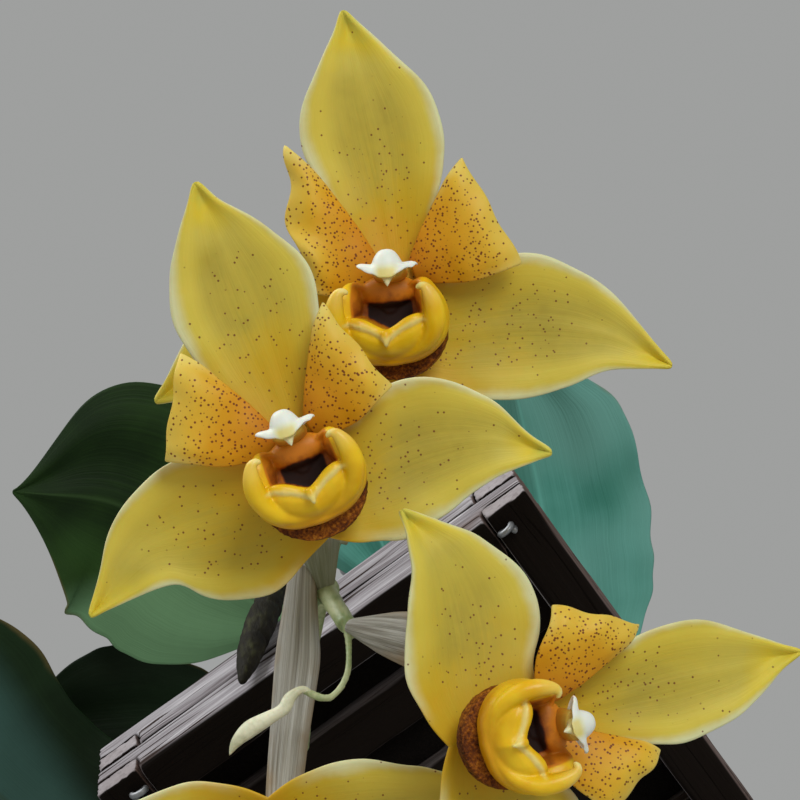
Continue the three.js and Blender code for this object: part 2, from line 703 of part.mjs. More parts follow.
function column() {
  const level = (y, z, rx, ry) => ring(at(0, y, z), at(rx, 0, 0), at(0, ry, 0), 10);
  const shaft = loft([
    level(3.9, HUB_FRONT + GAP, 3.3, 2.4),
    level(5, 7, 3.4, 2.4),
    level(6.4, 14, 3.7, 2.4),
    level(6.8, 20, 4.3, 2.8),
    level(6.6, 22.5, 4.7, 3.8),
    level(6.3, 24.6, 3.8, 3),
    level(6, 25.6, 1.6, 1.3),
  ]);
  const wings = new THREE.SphereGeometry(1, 8, 4).scale(8.8, 1.6, 1.7).translate(0, 5.9, 21.2);
  return join(shaft, wings);
}

function bloomPieces(bloom) {
  const shifted = new THREE.Matrix4()
    .makeShear(0, 0, 0, 0, ...(bloom.shift ?? [0, 0]))
    .scale(at(bloom.narrow ?? 1, 1, 1));
  return {
    sepals: [sepals(bloom), "sepal"],
    petal_left: [petal(-1, bloom.petals?.left), "petal"],
    petal_right: [petal(1, bloom.petals?.right), "petal"],
    lip: [lip().applyMatrix4(shifted), "lip"],
    pouch: [pouch().applyMatrix4(shifted), "pouch"],
    column: [column().applyMatrix4(shifted), "column"],
  };
}

for (const bloom of blooms) {
  const whole = new THREE.Group();
  whole.position.copy(bloom.middle);
  whole.quaternion.setFromRotationMatrix(bloom.frame);
  whole.scale.setScalar(bloom.size ?? 1);
  plant.add(whole);
  for (const [part, [geometry, finish]] of Object.entries(bloomPieces(bloom)))
    piece(`${bloom.name}_${part}`, geometry, finish, whole);
}

// Flower stem: it leaves the moss between two bottom slats, hangs forward, and carries a stalk to each
// bloom and a thin one to the bud

const NODE_2 = at(15, -101, -404); // where the stalk of bloom 2 leaves
const NODE_1 = at(21, -109, -430); // where those of blooms 1 and 4 leave
const NODE_3 = at(22.4, -103.2, -451.5); // the stem's tip, with bloom 3's stalk and the bud's

// Point in a bloom's own frame, in the plant's.
const inBloom = ({ middle, frame, size = 1 }, x, y, z) =>
  at(x, y, z).multiplyScalar(size).applyMatrix4(frame).add(middle);

const STALK_BEND = 32; // how far behind its bloom a stalk turns towards it
const STALK_STRAIGHT = 4; // its last stretch, square to the bloom's back
const stalkFrom = [NODE_1, NODE_2, NODE_3, at(19.9, -112.8, -429)];
blooms.forEach((bloom, i) => {
  bloom.stalk = new THREE.QuadraticBezierCurve3(
    stalkFrom[i],
    inBloom(bloom, ...(bloom.stalkBend ?? [0, -2]), -STALK_BEND),
    inBloom(bloom, 0, -2, HUB_BACK - GAP - STALK_STRAIGHT),
  );
  bloom.stalkEnd = inBloom(bloom, 0, -2, HUB_BACK - GAP);
});

const budStalk = new THREE.CatmullRomCurve3([
  NODE_3,
  at(19.6, -99.2, -457.6),
  at(16.4, -96.1, -463.6),
  at(12.4, -94.6, -467.1),
  at(8.8, -95, -469.3),
  at(6.9, -97.6, -469.8),
  at(5.2, -101.3, -470),
]);

function flowerStem() {
  const main = new THREE.CatmullRomCurve3([
    STEM_FOOT,
    STEM_MIDDLE,
    STEM_EXIT,
    at(-19.5, -60, -375),
    at(-4, -81, -391),
    NODE_2,
    at(19, -107, -417),
    NODE_1,
    NODE_3,
  ]);
  const swelling = ({ x, y, z }, radius) =>
    new THREE.SphereGeometry(radius, 8, 6).translate(x, y, z);
  return join(
    stem(main, [STEM_R, STEM_R, 3.2, 3, 2.6], 17),
    ...blooms.map(({ stalk, stalkEnd }) => stem(stalk, [2.3, 2.4, 2.9, 3], 7, 8, [stalkEnd])),
    stem(budStalk, [1.1, 1, 1, 1.2], 12, 5),
    swelling(NODE_1, 4.2),
    swelling(NODE_2, 3.9),
  );
}

piece("flower_stem", flowerStem(), "stem");

function bud() {
  const places = [
    at(4.6, -102.3, -470.5),
    at(1.6, -101.8, -471.1),
    at(-1.3, -100.8, -472.5),
    at(-5.9, -101.4, -473.6),
    at(-11.4, -102.3, -475.1),
    at(-16, -101.9, -476.4),
    at(-19.2, -100.5, -477.4),
  ];
  return rod(places, [1.2, 1.9, 1.5, 2, 2.1, 1.4, 0.3], 8);
}

piece("bud", bud(), "bud");

// Papery bracts, each a sheath round a bloom's stalk that opens away from the viewer

// Each: where along the stalk it starts and ends, then from start to end its half widths, how far round
// it wraps in radians, and how far it stands off in front and to the right of the stalk.
const bracts = [
  { reach: [0.13, 0.57], half: [4.2, 6, 5.6, 4], wrap: [1.9, 1.9, 1.4, 0.6] },
  { reach: [0.1, 0.5], half: [3.8, 4.8, 4.4, 3.8], wrap: [1.9, 1.9, 1.4, 0.6] },
  {
    reach: [0.08, 0.6],
    half: [3.6, 6, 7.4, 9.6],
    wrap: [1.9, 1.2, 1, 0.8],
    front: [0.3, 1.3],
    right: [0, 9.5],
  },
  {
    reach: [0, 0.86],
    half: [7, 8, 6.4, 4.8, 4.2],
    wrap: [0.7, 0.95, 1.6, 1.3, 0.8],
    front: [4.6, 2, 0.4, 0],
    right: [-2, -1.6, 0, 0.8],
  },
];

bracts.forEach(({ reach, half, wrap, front = [0, 0], right = [0, 0] }, i) => {
  const { stalk, name } = blooms[i];
  const surface = (u, v) => {
    const t = THREE.MathUtils.lerp(...reach, u);
    const along = stalk.getTangentAt(t);
    const across = along.clone().cross(AWAY).normalize();
    const ahead = along.clone().cross(across);
    const turn = between(wrap, u) * (2 * v - 1);
    const depth = Math.max(3.8, 0.6 * between(half, u));
    return stalk
      .getPointAt(t)
      .addScaledVector(across, between(half, u) * Math.sin(turn) + between(right, u))
      .addScaledVector(ahead, depth * Math.cos(turn) + between(front, u));
  };
  piece(`${name}_bract`, blade(surface, 7, 5, BRACT_T), "bract");
});

export default plant;
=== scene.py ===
# %% [markdown]
# # An orchid in flower in a hanging basket
# A basket of weathered wooden slats hangs by four wires from a hook. The orchid in it flowers downwards:
# its stem leaves between the bottom slats and carries four big waxy blooms and a bud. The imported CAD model
# is the frame. It gives every piece its place and its size, so nothing has to be fitted by eye, and this
# script gives the pieces their living shapes and finishes.

# %% Load the frame
import math

import bpy
from mathutils import Matrix, Vector, noise


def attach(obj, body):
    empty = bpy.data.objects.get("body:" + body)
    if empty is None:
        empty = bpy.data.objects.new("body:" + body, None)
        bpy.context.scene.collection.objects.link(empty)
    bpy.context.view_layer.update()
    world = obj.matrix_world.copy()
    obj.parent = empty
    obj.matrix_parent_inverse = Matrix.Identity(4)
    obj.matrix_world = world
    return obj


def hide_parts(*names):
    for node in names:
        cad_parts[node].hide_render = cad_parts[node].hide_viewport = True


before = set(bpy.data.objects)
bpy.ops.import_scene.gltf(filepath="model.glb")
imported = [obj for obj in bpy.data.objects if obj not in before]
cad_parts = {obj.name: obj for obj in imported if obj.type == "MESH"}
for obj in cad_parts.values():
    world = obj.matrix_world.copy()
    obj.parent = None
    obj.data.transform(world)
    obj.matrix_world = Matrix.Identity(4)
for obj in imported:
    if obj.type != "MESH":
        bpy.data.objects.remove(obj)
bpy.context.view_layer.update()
print("CAD nodes:", len(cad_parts))

# %% [markdown]
# ## Camera
# Someone who looks at such a basket from underneath sees the blooms face on. The camera could be turned by
# hand until the picture fits. Here its three directions are written down, because the blooms are built to
# face along the same ones.

# %% Camera
MM = 0.001
RIGHT = Vector((0.8114, 0.5772, -0.0942)).normalized()
DOWN = Vector((-0.5835, 0.7882, -0.1964)).normalized()
AWAY = Vector((-0.0391, 0.2143, 0.976)).normalized()
EYE = Vector((95.3, -287.9, -1104.8)) * MM
LENS = 115.2

turned = Matrix((RIGHT, -DOWN, -AWAY)).transposed().to_4x4()
bpy.ops.object.camera_add()
camera = bpy.context.object
camera.name = "camera"
camera.data.lens = LENS
camera.matrix_world = Matrix.Translation(EYE) @ turned
bpy.context.scene.camera = camera
print("camera looks up at", round(math.degrees(math.asin(AWAY.z))), "degrees")

# %% [markdown]
# ## Floor and light
# A studio photograph needs a quiet room. The floor is one plain pale plane well below the basket. The grey
# surroundings give most of the light, as an overcast day does, and three large soft lamps add direction.

# %% Floor and light
FLOOR_DEPTH = -1.7
FLOOR_SIZE = 9
CENTRE = Vector((0.02, -0.06, -0.4))

bpy.ops.mesh.primitive_plane_add(size=FLOOR_SIZE, location=(0, 0, FLOOR_DEPTH))
floor = bpy.context.object
floor.name = "studio_floor"
pale = bpy.data.materials.new("pale_floor")
pale.use_nodes = True
pale.node_tree.nodes["Principled BSDF"].inputs["Base Color"].default_value = (0.86, 0.85, 0.83, 1)
pale.node_tree.nodes["Principled BSDF"].inputs["Roughness"].default_value = 0.9
floor.data.materials.append(pale)

room = bpy.data.worlds.new("studio")
room.use_nodes = True
room.node_tree.nodes["Background"].inputs["Color"].default_value = (0.345, 0.35, 0.345, 1)
bpy.context.scene.world = room
bpy.context.scene.view_settings.view_transform = "Standard"


def lamp(name, direction, distance, size, power):
    """A square soft lamp that shines at the plant from a direction."""
    place = CENTRE + direction.normalized() * distance
    bpy.ops.object.light_add(type="AREA", location=place)
    light = bpy.context.object
    light.name = name
    light.data.size = size
    light.data.energy = power
    light.rotation_euler = (CENTRE - place).to_track_quat("-Z", "Y").to_euler()


lamp("key_lamp", -AWAY * 1.0 + DOWN * 0.1 - RIGHT * 0.35, 1.7, 0.6, 11)
lamp("fill_lamp", -AWAY * 0.8 - DOWN * 0.7 + RIGHT * 0.3, 1.3, 0.5, 7.5)
lamp("front_lamp", Vector((-0.1, -1, 0.45)), 1.6, 1.0, 16)
print("floor lies", -FLOOR_DEPTH, "m under the hook")

# %% [markdown]
# ## Helpers for shapes
# Petals, leaves and bracts are thin sheets. Such a sheet could be cut from a plane by hand, but here every
# sheet starts as a flat grid, whose points are moved onto a curved surface, as a sculptor would. The grid
# brings a UV map along, and the finishes use it to follow the blade from base to tip. A rolled sheet closes
# into a solid, such as a cup or a bulb.

# %% Helpers for shapes
MERGE = 4e-6


def select(*pieces):
    """Selects these pieces alone and makes the first one active."""
    bpy.ops.object.select_all(action="DESELECT")
    for piece in pieces:
        piece.select_set(True)
    bpy.context.view_layer.objects.active = pieces[0]


def add_modifier(piece, kind, **settings):
    modifier = piece.modifiers.new(kind.lower(), kind)
    for name, value in settings.items():
        setattr(modifier, name, value)


def settle(piece, place=Matrix.Identity(4)):
    """Applies all modifiers and puts the piece's place, which may be aslant, into its mesh."""
    select(piece)
    for modifier in list(piece.modifiers):
        bpy.ops.object.modifier_apply(modifier=modifier.name)
    piece.data.transform(place @ piece.matrix_world)
    piece.matrix_world = Matrix.Identity(4)
    bpy.ops.object.shade_smooth()
    return piece


def grid(name, surface, rows, columns):
    """A flat grid with its points moved to surface(u, v), which is in millimetres."""
    bpy.ops.object.select_all(action="DESELECT")
    bpy.ops.mesh.primitive_grid_add(x_subdivisions=rows, y_subdivisions=columns, size=1)
    piece = bpy.context.object
    piece.name = piece.data.name = name
    for vertex in piece.data.vertices:
        vertex.co = Vector(surface(vertex.co.x + 0.5, vertex.co.y + 0.5)) * MM
    return piece


def thin(name, surface, rows, columns, thickness):
    """A thin blade of even thickness with a rounded rim."""
    piece = grid(name, surface, rows, columns)
    add_modifier(piece, "SOLIDIFY", thickness=thickness * MM, offset=0)
    add_modifier(piece, "SUBSURF", levels=1, render_levels=1)
    return settle(piece)


def close_seams(piece):
    """Welds double points, and turns all faces outwards."""
    select(piece)
    bpy.ops.object.mode_set(mode="EDIT")
    bpy.ops.mesh.select_all(action="SELECT")
    bpy.ops.mesh.remove_doubles(threshold=MERGE)
    bpy.ops.mesh.normals_make_consistent(inside=False)
    bpy.ops.object.mode_set(mode="OBJECT")


def rolled(name, surface, rows, columns):
    """A closed body: v goes once round, and each end in u comes to a point."""
    piece = grid(name, lambda u, v: surface(u, v % 1), rows, columns)
    close_seams(piece)
    return settle(piece)


def merged(name, *parts):
    """Joins parts into one piece of that name."""
    select(*parts)
    bpy.ops.object.join()
    piece = bpy.context.object
    piece.name = piece.data.name = name
    return piece


def cad_copy(node, name):
    """A copy of a CAD node's mesh, welded, to be worked on."""
    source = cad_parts[node]
    piece = bpy.data.objects.new(name, source.data.copy())
    bpy.context.scene.collection.objects.link(piece)
    piece.data.materials.clear()
    piece.data.name = name
    close_seams(piece)
    return piece


def smooth_step(value, low, high):
    t = min(max((value - low) / (high - low), 0), 1)
    return t * t * (3 - 2 * t)


def paint(piece, name, value_at):
    """Writes a number for each point, which a finish can read by its name."""
    layer = piece.data.attributes.new(name, "FLOAT", "POINT")
    layer.data.foreach_set("value", [value_at(vertex.co) for vertex in piece.data.vertices])


def show(piece, node, finish):
    """Gives a finished piece its material and lets it stand for its CAD node."""
    piece.data.materials.clear()
    piece.data.materials.append(finish)
    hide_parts(node)
    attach(piece, "root")


# %% [markdown]
# ## Helpers for curves
# The CAD model draws its margins, ribs and stalks as smooth curves through a few points. The same curves
# are drawn here, so that the living shapes lie exactly where the solids are.

# %% Helpers for curves
CURVE_STEPS = 40


def curve(points, natural=False):
    """A smooth curve through points, given as a function of the share of its length. A natural one, as
    for stalks, eases evenly round uneven spacings, and a plain one suits margins."""
    points = [Vector(p) for p in points]
    first = 2 * points[0] - points[1] if natural else points[0]
    last = 2 * points[-1] - points[-2] if natural else points[-1]
    padded = [first, *points, last]
    dense = []
    for a, b, c, d in zip(padded, padded[1:], padded[2:], padded[3:]):
        before, here, after = [
            (q - p).length ** 0.5 if natural and (q - p).length > 0 else 1
            for p, q in ((a, b), (b, c), (c, d))
        ]
        leave = ((b - a) / before - (c - a) / (before + here) + (c - b) / here) * here
        arrive = ((c - b) / here - (d - b) / (here + after) + (d - c) / after) * here
        for step in range(CURVE_STEPS):
            t = step / CURVE_STEPS
            dense.append(
                b * (2 * t**3 - 3 * t**2 + 1)
                + leave * (t**3 - 2 * t**2 + t)
                + c * (3 * t**2 - 2 * t**3)
                + arrive * (t**3 - t**2)
            )
    dense.append(points[-1])
    reach = [0]
    for p, q in zip(dense, dense[1:]):
        reach.append(reach[-1] + (q - p).length)

    def at(share):
        target = min(max(share, 0), 1) * reach[-1]
        low, high = 0, len(reach) - 1
        while high - low > 1:
            middle = (low + high) // 2
            low, high = (middle, high) if reach[middle] <= target else (low, middle)
        span = reach[high] - reach[low]
        return dense[low].lerp(dense[high], (target - reach[low]) / span if span else 0)

    return at


def between(values, t):
    """Value at t, from 0 to 1, of a smooth line through evenly spaced values."""
    place = min(max(t, 0), 1) * (len(values) - 1)
    index = min(int(place), len(values) - 2)
    t = place - index
    a, b, c, d = [values[min(max(index + k, 0), len(values) - 1)] for k in (-1, 0, 1, 2)]
    return b + 0.5 * t * (c - a + t * (2 * a - 5 * b + 4 * c - d + t * (3 * (b - c) + d - a)))


def heading(line, share, step=0.01):
    """Direction in which a curve runs at a share of its length."""
    return (line(min(share + step, 1)) - line(max(share - step, 0))).normalized()


def tube(name, line, radius_at, rows, columns, ripple=None):
    """A round body along a curve. ripple(u, turn) changes its radius as bark or ribs do."""
    frames = []
    across = None
    for row in range(rows + 1):
        along = heading(line, row / rows)
        reference = across or Vector((1, 0, 0) if abs(along.z) > 0.9 else (0, 0, 1))
        across = (reference - along * reference.dot(along)).normalized()
        frames.append((line(row / rows), across, along.cross(across)))

    def surface(u, v):
        centre, side, up = frames[round(u * rows)]
        if u in (0, 1):
            return centre
        turn = 2 * math.pi * v
        dome = math.sqrt(min(1, min(u, 1 - u) * rows / 2.5))
        radius = dome * radius_at(u) * (1 + ripple(u, turn) if ripple else 1)
        return centre + (side * math.cos(turn) + up * math.sin(turn)) * radius

    return rolled(name, surface, rows, columns)


def lumps(place, size, seed=0):
    """Soft noise from -1 to 1 whose lumps are about size wide."""
    return noise.noise(Vector(place) / size + Vector((seed, 2.3 * seed, -seed)))


# %% [markdown]
# ## Helpers for finishes
# A procedural finish is sums on colours and masks. Dozens of Math nodes could be added one by one. The
# small class below lets them be written as Python sums instead, and one method adds any other node.

# %% Helpers for finishes
class Value:
    """A node's output, on which sums add Math nodes."""

    def __init__(self, finish, output):
        self.finish = finish
        self.output = output

    def math(self, operation, a, b=0.0):
        return self.finish.node("Math", {"operation": operation}, {0: a, 1: b})

    def __add__(self, other):
        return self.math("ADD", self, other)

    def __radd__(self, other):
        return self.math("ADD", other, self)

    def __sub__(self, other):
        return self.math("SUBTRACT", self, other)

    def __rsub__(self, other):
        return self.math("SUBTRACT", other, self)

    def __mul__(self, other):
        return self.math("MULTIPLY", self, other)

    def __rmul__(self, other):
        return self.math("MULTIPLY", other, self)

    def __abs__(self):
        return self.math("ABSOLUTE", self)

    def over(self, low, high):
        """0 below low, 1 above high and smooth in between."""
        settings = {"interpolation_type": "SMOOTHSTEP"}
        return self.finish.node("MapRange", settings, {0: self, 1: low, 2: high})

    def twin(self, name):
        """Another output of the same node."""
        return Value(self.finish, self.output.node.outputs[name])


class Finish:
    """A procedural material that is being wired up."""

    def __init__(self, name, **fixed):
        self.material = bpy.data.materials.new(name)
        self.material.use_nodes = True
        self.tree = self.material.node_tree
        self.shader = self.tree.nodes["Principled BSDF"]
        for socket, value in fixed.items():
            self.shader.inputs[socket.replace("_", " ")].default_value = value

    def node(self, kind, settings, inputs, output=0):
        """Adds a node: its settings first, then the values or links of its sockets."""
        new = self.tree.nodes.new("ShaderNode" + kind)
        for setting, value in settings.items():
            if setting == "stops":
                ramp = new.color_ramp.elements
                while len(ramp) < len(value):
                    ramp.new(0.5)
                for element, (place, colour) in zip(ramp, value):
                    element.position = place
                    element.color = (*colour, 1)
            else:
                setattr(new, setting, value)
        for socket, value in inputs.items():
            self.feed(new.inputs[socket], value)
        return Value(self, new.outputs[output])

    def feed(self, socket, value):
        if isinstance(value, Value):
            self.tree.links.new(value.output, socket)
        elif socket.type == "RGBA":
            socket.default_value = (*value, 1)
        else:
            socket.default_value = value

    def place(self, stretch=(1, 1, 1)):
        """Object coordinates, stretched."""
        spot = self.node("TexCoord", {}, {}, "Object")
        return self.node("VectorMath", {"operation": "MULTIPLY"}, {0: spot, 1: stretch})

    def uv(self, stretch=(1, 1, 1)):
        """Coordinates along and across the blade, stretched."""
        spot = self.node("UVMap", {"uv_map": "UVMap"}, {})
        return self.node("VectorMath", {"operation": "MULTIPLY"}, {0: spot, 1: stretch})

    def along(self):
        """Share of the way from base to tip."""
        return self.node("SeparateXYZ", {}, {0: self.uv()}, 0)

    def aside(self):
        """Distance from the middle line, 0 there and 1 at either margin."""
        return abs(2 * self.node("SeparateXYZ", {}, {0: self.uv()}, 1) - 1)

    def painted(self, name):
        return self.node("Attribute", {"attribute_name": name}, {}, "Fac")

    def noise(self, spot, scale, detail=3, roughness=0.5):
        wanted = {"Vector": spot, "Scale": scale, "Detail": detail, "Roughness": roughness}
        return self.node("TexNoise", {}, wanted, 0)

    def mix(self, mask, below, above):
        return self.node("Mix", {"data_type": "RGBA"}, {0: mask, 6: below, 7: above}, 2)

    def ramp(self, value, *stops):
        return self.node("ValToRGB", {"stops": stops}, {0: value})

    def bump(self, height, strength, distance):
        wanted = {"Height": height, "Strength": strength, "Distance": distance}
        self.feed(self.shader.inputs["Normal"], self.node("Bump", {}, wanted))

    def finished(self, colour, roughness=None):
        self.feed(self.shader.inputs["Base Color"], colour)
        if roughness is not None:
            self.feed(self.shader.inputs["Roughness"], roughness)
        return self.material

    def spots(self, spacing, radius, share):
        """Round spots: their spacing and radius in metres, and the share of places that bear one."""
        wanted = {"Vector": self.place(), "Scale": 1 / spacing}
        distance = self.node("TexVoronoi", {}, wanted, "Distance")
        chance = self.node("SeparateColor", {}, {0: distance.twin("Color")}, 0)
        size = radius / spacing
        inside = 1 - distance.over(0.75 * size, 1.25 * size)
        return inside * (share - chance).over(0, 0.02)


# %% [markdown]
# ## Finishes of the flower
# The sepals are pale waxy yellow, ochre towards the heart, deepened there by painted shade near the lip,
# with painted shade along the hollow middle, a painted highlight on the curve before the rim and a creamy
# green rim that is partly painted highlight, and with a few tiny dark red spots. The petals are more orange
# and densely spotted. Photographs could be wrapped round them, but procedural spots stay sharp at any
# distance and differ from bloom to bloom.

# %% Finishes of the flower
SPOT = (0.13, 0.016, 0.006)


def sepal_finish():
    finish = Finish(
        "sepal_wax", Roughness=0.5, Specular_IOR_Level=0.25, Subsurface_Weight=0.1, Subsurface_Scale=0.004
    )
    u, side = finish.along(), finish.aside()
    streaks = finish.noise(finish.uv((2.2, 30, 1)), 1, 4, 0.6)
    clouds = finish.noise(finish.place(), 42, 4, 0.6)
    # From ochre at the heart, deepened there by painted shade near the lip, to yellow towards the tip.
    body = finish.ramp(
        u + (clouds - 0.5) * 0.6 + (streaks - 0.5) * 0.12,
        (0.0, (0.64, 0.34, 0.008)),
        (0.25, (0.58, 0.39, 0.014)),
        (0.5, (0.55, 0.44, 0.05)),
        (0.76, (0.6, 0.5, 0.075)),
        (0.92, (0.72, 0.56, 0.035)),
        (1.0, (0.6, 0.56, 0.08)),
    )
    # Painted shade: the hollow middle of each sepal is darkened in ochre blotches.
    hollow_shade = (1 - side.over(0.2, 0.8)) * u.over(0.1, 0.4) * (1 - u.over(0.7, 0.92))
    body = finish.mix(hollow_shade * (clouds + 0.35 * streaks).over(0.5, 0.95) * 0.85, body, (0.38, 0.3, 0.035))
    # Painted highlight: a lighter yellow band along the curve before the rim.
    crest_highlight = side.over(0.4, 0.72) * (1 - side.over(0.8, 0.95)) * u.over(0.2, 0.5)
    body = finish.mix(crest_highlight * 0.5, body, (0.74, 0.6, 0.07))
    # The creamy green rim is partly the margin's own paler colour and partly a painted highlight.
    rim = (side + (clouds - 0.5) * 0.35).over(0.8, 1.02) * u.over(0.1, 0.35)
    body = finish.mix(rim * 0.75, body, (0.72, 0.76, 0.48))
    share = 0.03 + 0.36 * (1 - side.over(0.3, 0.9)) * (1 - u.over(0.3, 0.75))
    spots = finish.spots(0.00122, 0.00029, share)
    finish.bump(streaks * 0.3 + clouds, 0.3, 0.0012)
    return finish.finished(finish.mix(0.85 * spots, body, SPOT), 0.42 + 0.16 * clouds)


def petal_finish():
    finish = Finish(
        "petal_wax", Roughness=0.5, Specular_IOR_Level=0.25, Subsurface_Weight=0.1, Subsurface_Scale=0.004
    )
    u, side = finish.along(), finish.aside()
    clouds = finish.noise(finish.place(), 70, 3)
    body = finish.ramp(
        u + (clouds - 0.5) * 0.5,
        (0.0, (0.5, 0.16, 0.004)),
        (0.25, (0.62, 0.26, 0.006)),
        (0.55, (0.68, 0.34, 0.009)),
        (0.8, (0.72, 0.44, 0.03)),
        (1.0, (0.72, 0.52, 0.08)),
    )
    rim = (side + (clouds - 0.5) * 0.4).over(0.8, 1.0) * u.over(0.45, 0.9)
    body = finish.mix(0.45 * rim, body, (0.78, 0.66, 0.2))
    share = 0.35 + 0.65 * (1 - u.over(0.7, 1.0)) * u.over(0.02, 0.2)
    spots = finish.spots(0.00112, 0.00031, share)
    finish.bump(clouds, 0.2, 0.0012)
    return finish.finished(finish.mix(0.92 * spots, body, SPOT), 0.42 + 0.16 * clouds)


def lip_finish():
    finish = Finish("lip_wax", Specular_IOR_Level=0.3, Subsurface_Weight=0.12, Subsurface_Scale=0.003)
    clouds = finish.noise(finish.place(), 120, 2)
    grain = finish.noise(finish.place(), 1500, 2)
    body = finish.mix(clouds.over(0.3, 0.7), (0.76, 0.42, 0.003), (0.86, 0.56, 0.012))
    # Painted shade: a deeper orange low on the front, under the overhanging edge.
    body = finish.mix(finish.painted("foot"), body, (0.62, 0.27, 0.001))
    # Pale horn tips, rolled edge and tooth, and a painted highlight on the upper rim and horns.
    body = finish.mix(finish.painted("pale"), body, (0.86, 0.74, 0.26))
    # Orange walls inside with streaks, darkened by painted shade towards the throat, which is near black
    # painted shade.
    deep = finish.painted("throat")
    streaks = finish.noise(finish.place((1, 1, 0.2)), 420, 3)
    body = finish.mix(deep.over(0.02, 0.3), body, (0.6, 0.2, 0.006))
    body = finish.mix((deep + (streaks - 0.5) * 0.5).over(0.32, 0.7), body, (0.22, 0.05, 0.004))
    body = finish.mix((deep + (streaks - 0.5) * 0.5).over(0.62, 0.86), body, (0.014, 0.004, 0.003))
    finish.bump(grain, 0.08, 0.0003)
    return finish.finished(body, 0.3 + 0.1 * clouds + 0.4 * deep)


def pouch_finish():
    finish = Finish("pouch_warts", Specular_IOR_Level=0.15)
    warts = finish.noise(finish.place(), 1300, 3, 0.6)
    clouds = finish.noise(finish.place(), 120, 2)
    body = finish.ramp(
        0.6 * warts + 0.4 * clouds,
        (0.36, (0.04, 0.008, 0.001)),
        (0.48, (0.13, 0.03, 0.002)),
        (0.6, (0.32, 0.095, 0.005)),
        (0.7, (0.52, 0.21, 0.02)),
    )
    finish.bump(warts, 0.9, 0.0006)
    return finish.finished(body, 0.42 + 0.2 * warts)


def column_finish():
    finish = Finish("column_wax", Specular_IOR_Level=0.4, Subsurface_Weight=0.15, Subsurface_Scale=0.003)
    tint = finish.painted("tint")
    clouds = finish.noise(finish.place(), 180, 2)
    body = finish.ramp(
        tint + (clouds - 0.5) * 0.12,
        (0.0, (0.4, 0.12, 0.006)),
        (0.35, (0.56, 0.27, 0.02)),
        (0.55, (0.76, 0.6, 0.12)),
        (0.78, (0.78, 0.76, 0.5)),
        (1.0, (0.82, 0.83, 0.74)),
    )
    finish.bump(finish.noise(finish.place(), 700, 3), 0.2, 0.0004)
    return finish.finished(body, 0.34 + 0.2 * clouds)


sepal_wax = sepal_finish()
petal_wax = petal_finish()
lip_wax = lip_finish()
pouch_warts = pouch_finish()
column_wax = column_finish()
print("flower finishes: 5")

# %% [markdown]
# ## Where the blooms are
# Each bloom has a frame of its own: X to the right, Y towards its upper sepal and Z towards the viewer. The
# blooms are alike, but each has grown a little differently, and the same differences are in the CAD solids.
# An entry gives a bloom's middle, in millimetres, and which way its lower side hangs in the picture, to the
# right and down. The rest turns, stretches or bends single sepals, moves the corners of petals, slants the
# lip or tips the whole bloom back. Each bloom could be modelled by itself, but this way all stay one flower.

# %% Where the blooms are
BLOOMS = [
    {
        "name": "bloom_1",
        "middle": (41.9, -153.3, -470.5),
        "hangs": (0.363, 0.932),
        "shift": (-0.02, 0),
        "dorsal": {"length": 0.97},
        "right": {"turn": 2.6, "length": 0.97},
        "left": {"turn": -2.3, "length": 1.036},
        "left_lower": [
            (-1, -23), (7, -27), (14, -31), (24.6, -31.4),
            (33.6, -27.4), (39.5, -21.8), (50, -21.2), (62.4, -22.4),
        ],
        "petal_right": [(18.8, 33), (27.6, 6.6)],
        "petal_left": [(19.4, 34), (33, 9.6)],
    },
    {
        "name": "bloom_2",
        "middle": (85.1, -162.5, -415.5),
        "hangs": (0.081, 0.997),
        "size": 1.05,
        "shift": (-0.17, -0.09),
        "column_shift": (-0.1, -0.09),
        "dorsal": {"turn": 3.2, "length": 0.975, "bend": 4.4},
        "right": {"turn": 1, "length": 1.13},
        "left": {"turn": 1, "length": 1.057},
        "petal_left": [(25, 39.4), (22.4, 0.5)],
        "petal_right": [(19.5, 32.5), (33, 3.4)],
    },
    {
        "name": "bloom_3",
        "middle": (50.3, -68.1, -499.1),
        "hangs": (-0.968, 0.249),
        "lean": 20,
        "shift": (0.04, -0.08),
        "column_shift": (0.04, -0.17),
        "narrow": 0.93,
        "dorsal": {"turn": -2, "length": 1.01, "width": 0.82},
        "left": {"turn": -2.2, "length": 0.945},
        "petal_left": [(16.3, 33), (27.4, 11)],
        "petal_right": [(16, 30), (27.4, 11)],
        "stalk_bend": (-11, -2),
    },
    {
        "name": "bloom_4",
        "middle": (-27.1, -68.2, -491.9),
        "hangs": (-0.139, -0.99),
        "stalk_bend": (2.8, -2),
    },
]


def bloom_place(bloom):
    """Matrix that puts a bloom, built round the origin, in its place."""
    right, down = bloom["hangs"]
    dorsal = (RIGHT * -right + DOWN * -down).normalized()
    across = dorsal.cross(-AWAY)
    facing = Matrix((across, dorsal, -AWAY)).transposed().to_4x4()
    lean = Matrix.Rotation(-math.radians(bloom.get("lean", 0)), 4, "X")
    middle = Matrix.Translation(Vector(bloom["middle"]) * MM)
    return middle @ facing @ lean @ Matrix.Scale(bloom.get("size", 1), 4)


def centre_place(bloom, part):
    """The place of lip, pouch or column, which stand a little aslant in some blooms."""
    right, up = bloom.get("shift", (0, 0))
    if part == "column":
        right, up = bloom.get("column_shift", (right, up))
    aslant = Matrix(((bloom.get("narrow", 1), 0, right, 0), (0, 1, up, 0), (0, 0, 1, 0), (0, 0, 0, 1)))
    return bloom_place(bloom) @ aslant


print("blooms:", [bloom["name"] for bloom in BLOOMS])

# %% [markdown]
# ## Sepals
# Three sepals spread from the heart of each bloom, one up and two drooping sideways. Each is a sheet
# between two curved margins. It is hollow like a spoon, its rim curls back a little, and its tip is a keeled
# point. Pinching a plane into that shape would take an age, and a formula gives all twelve.

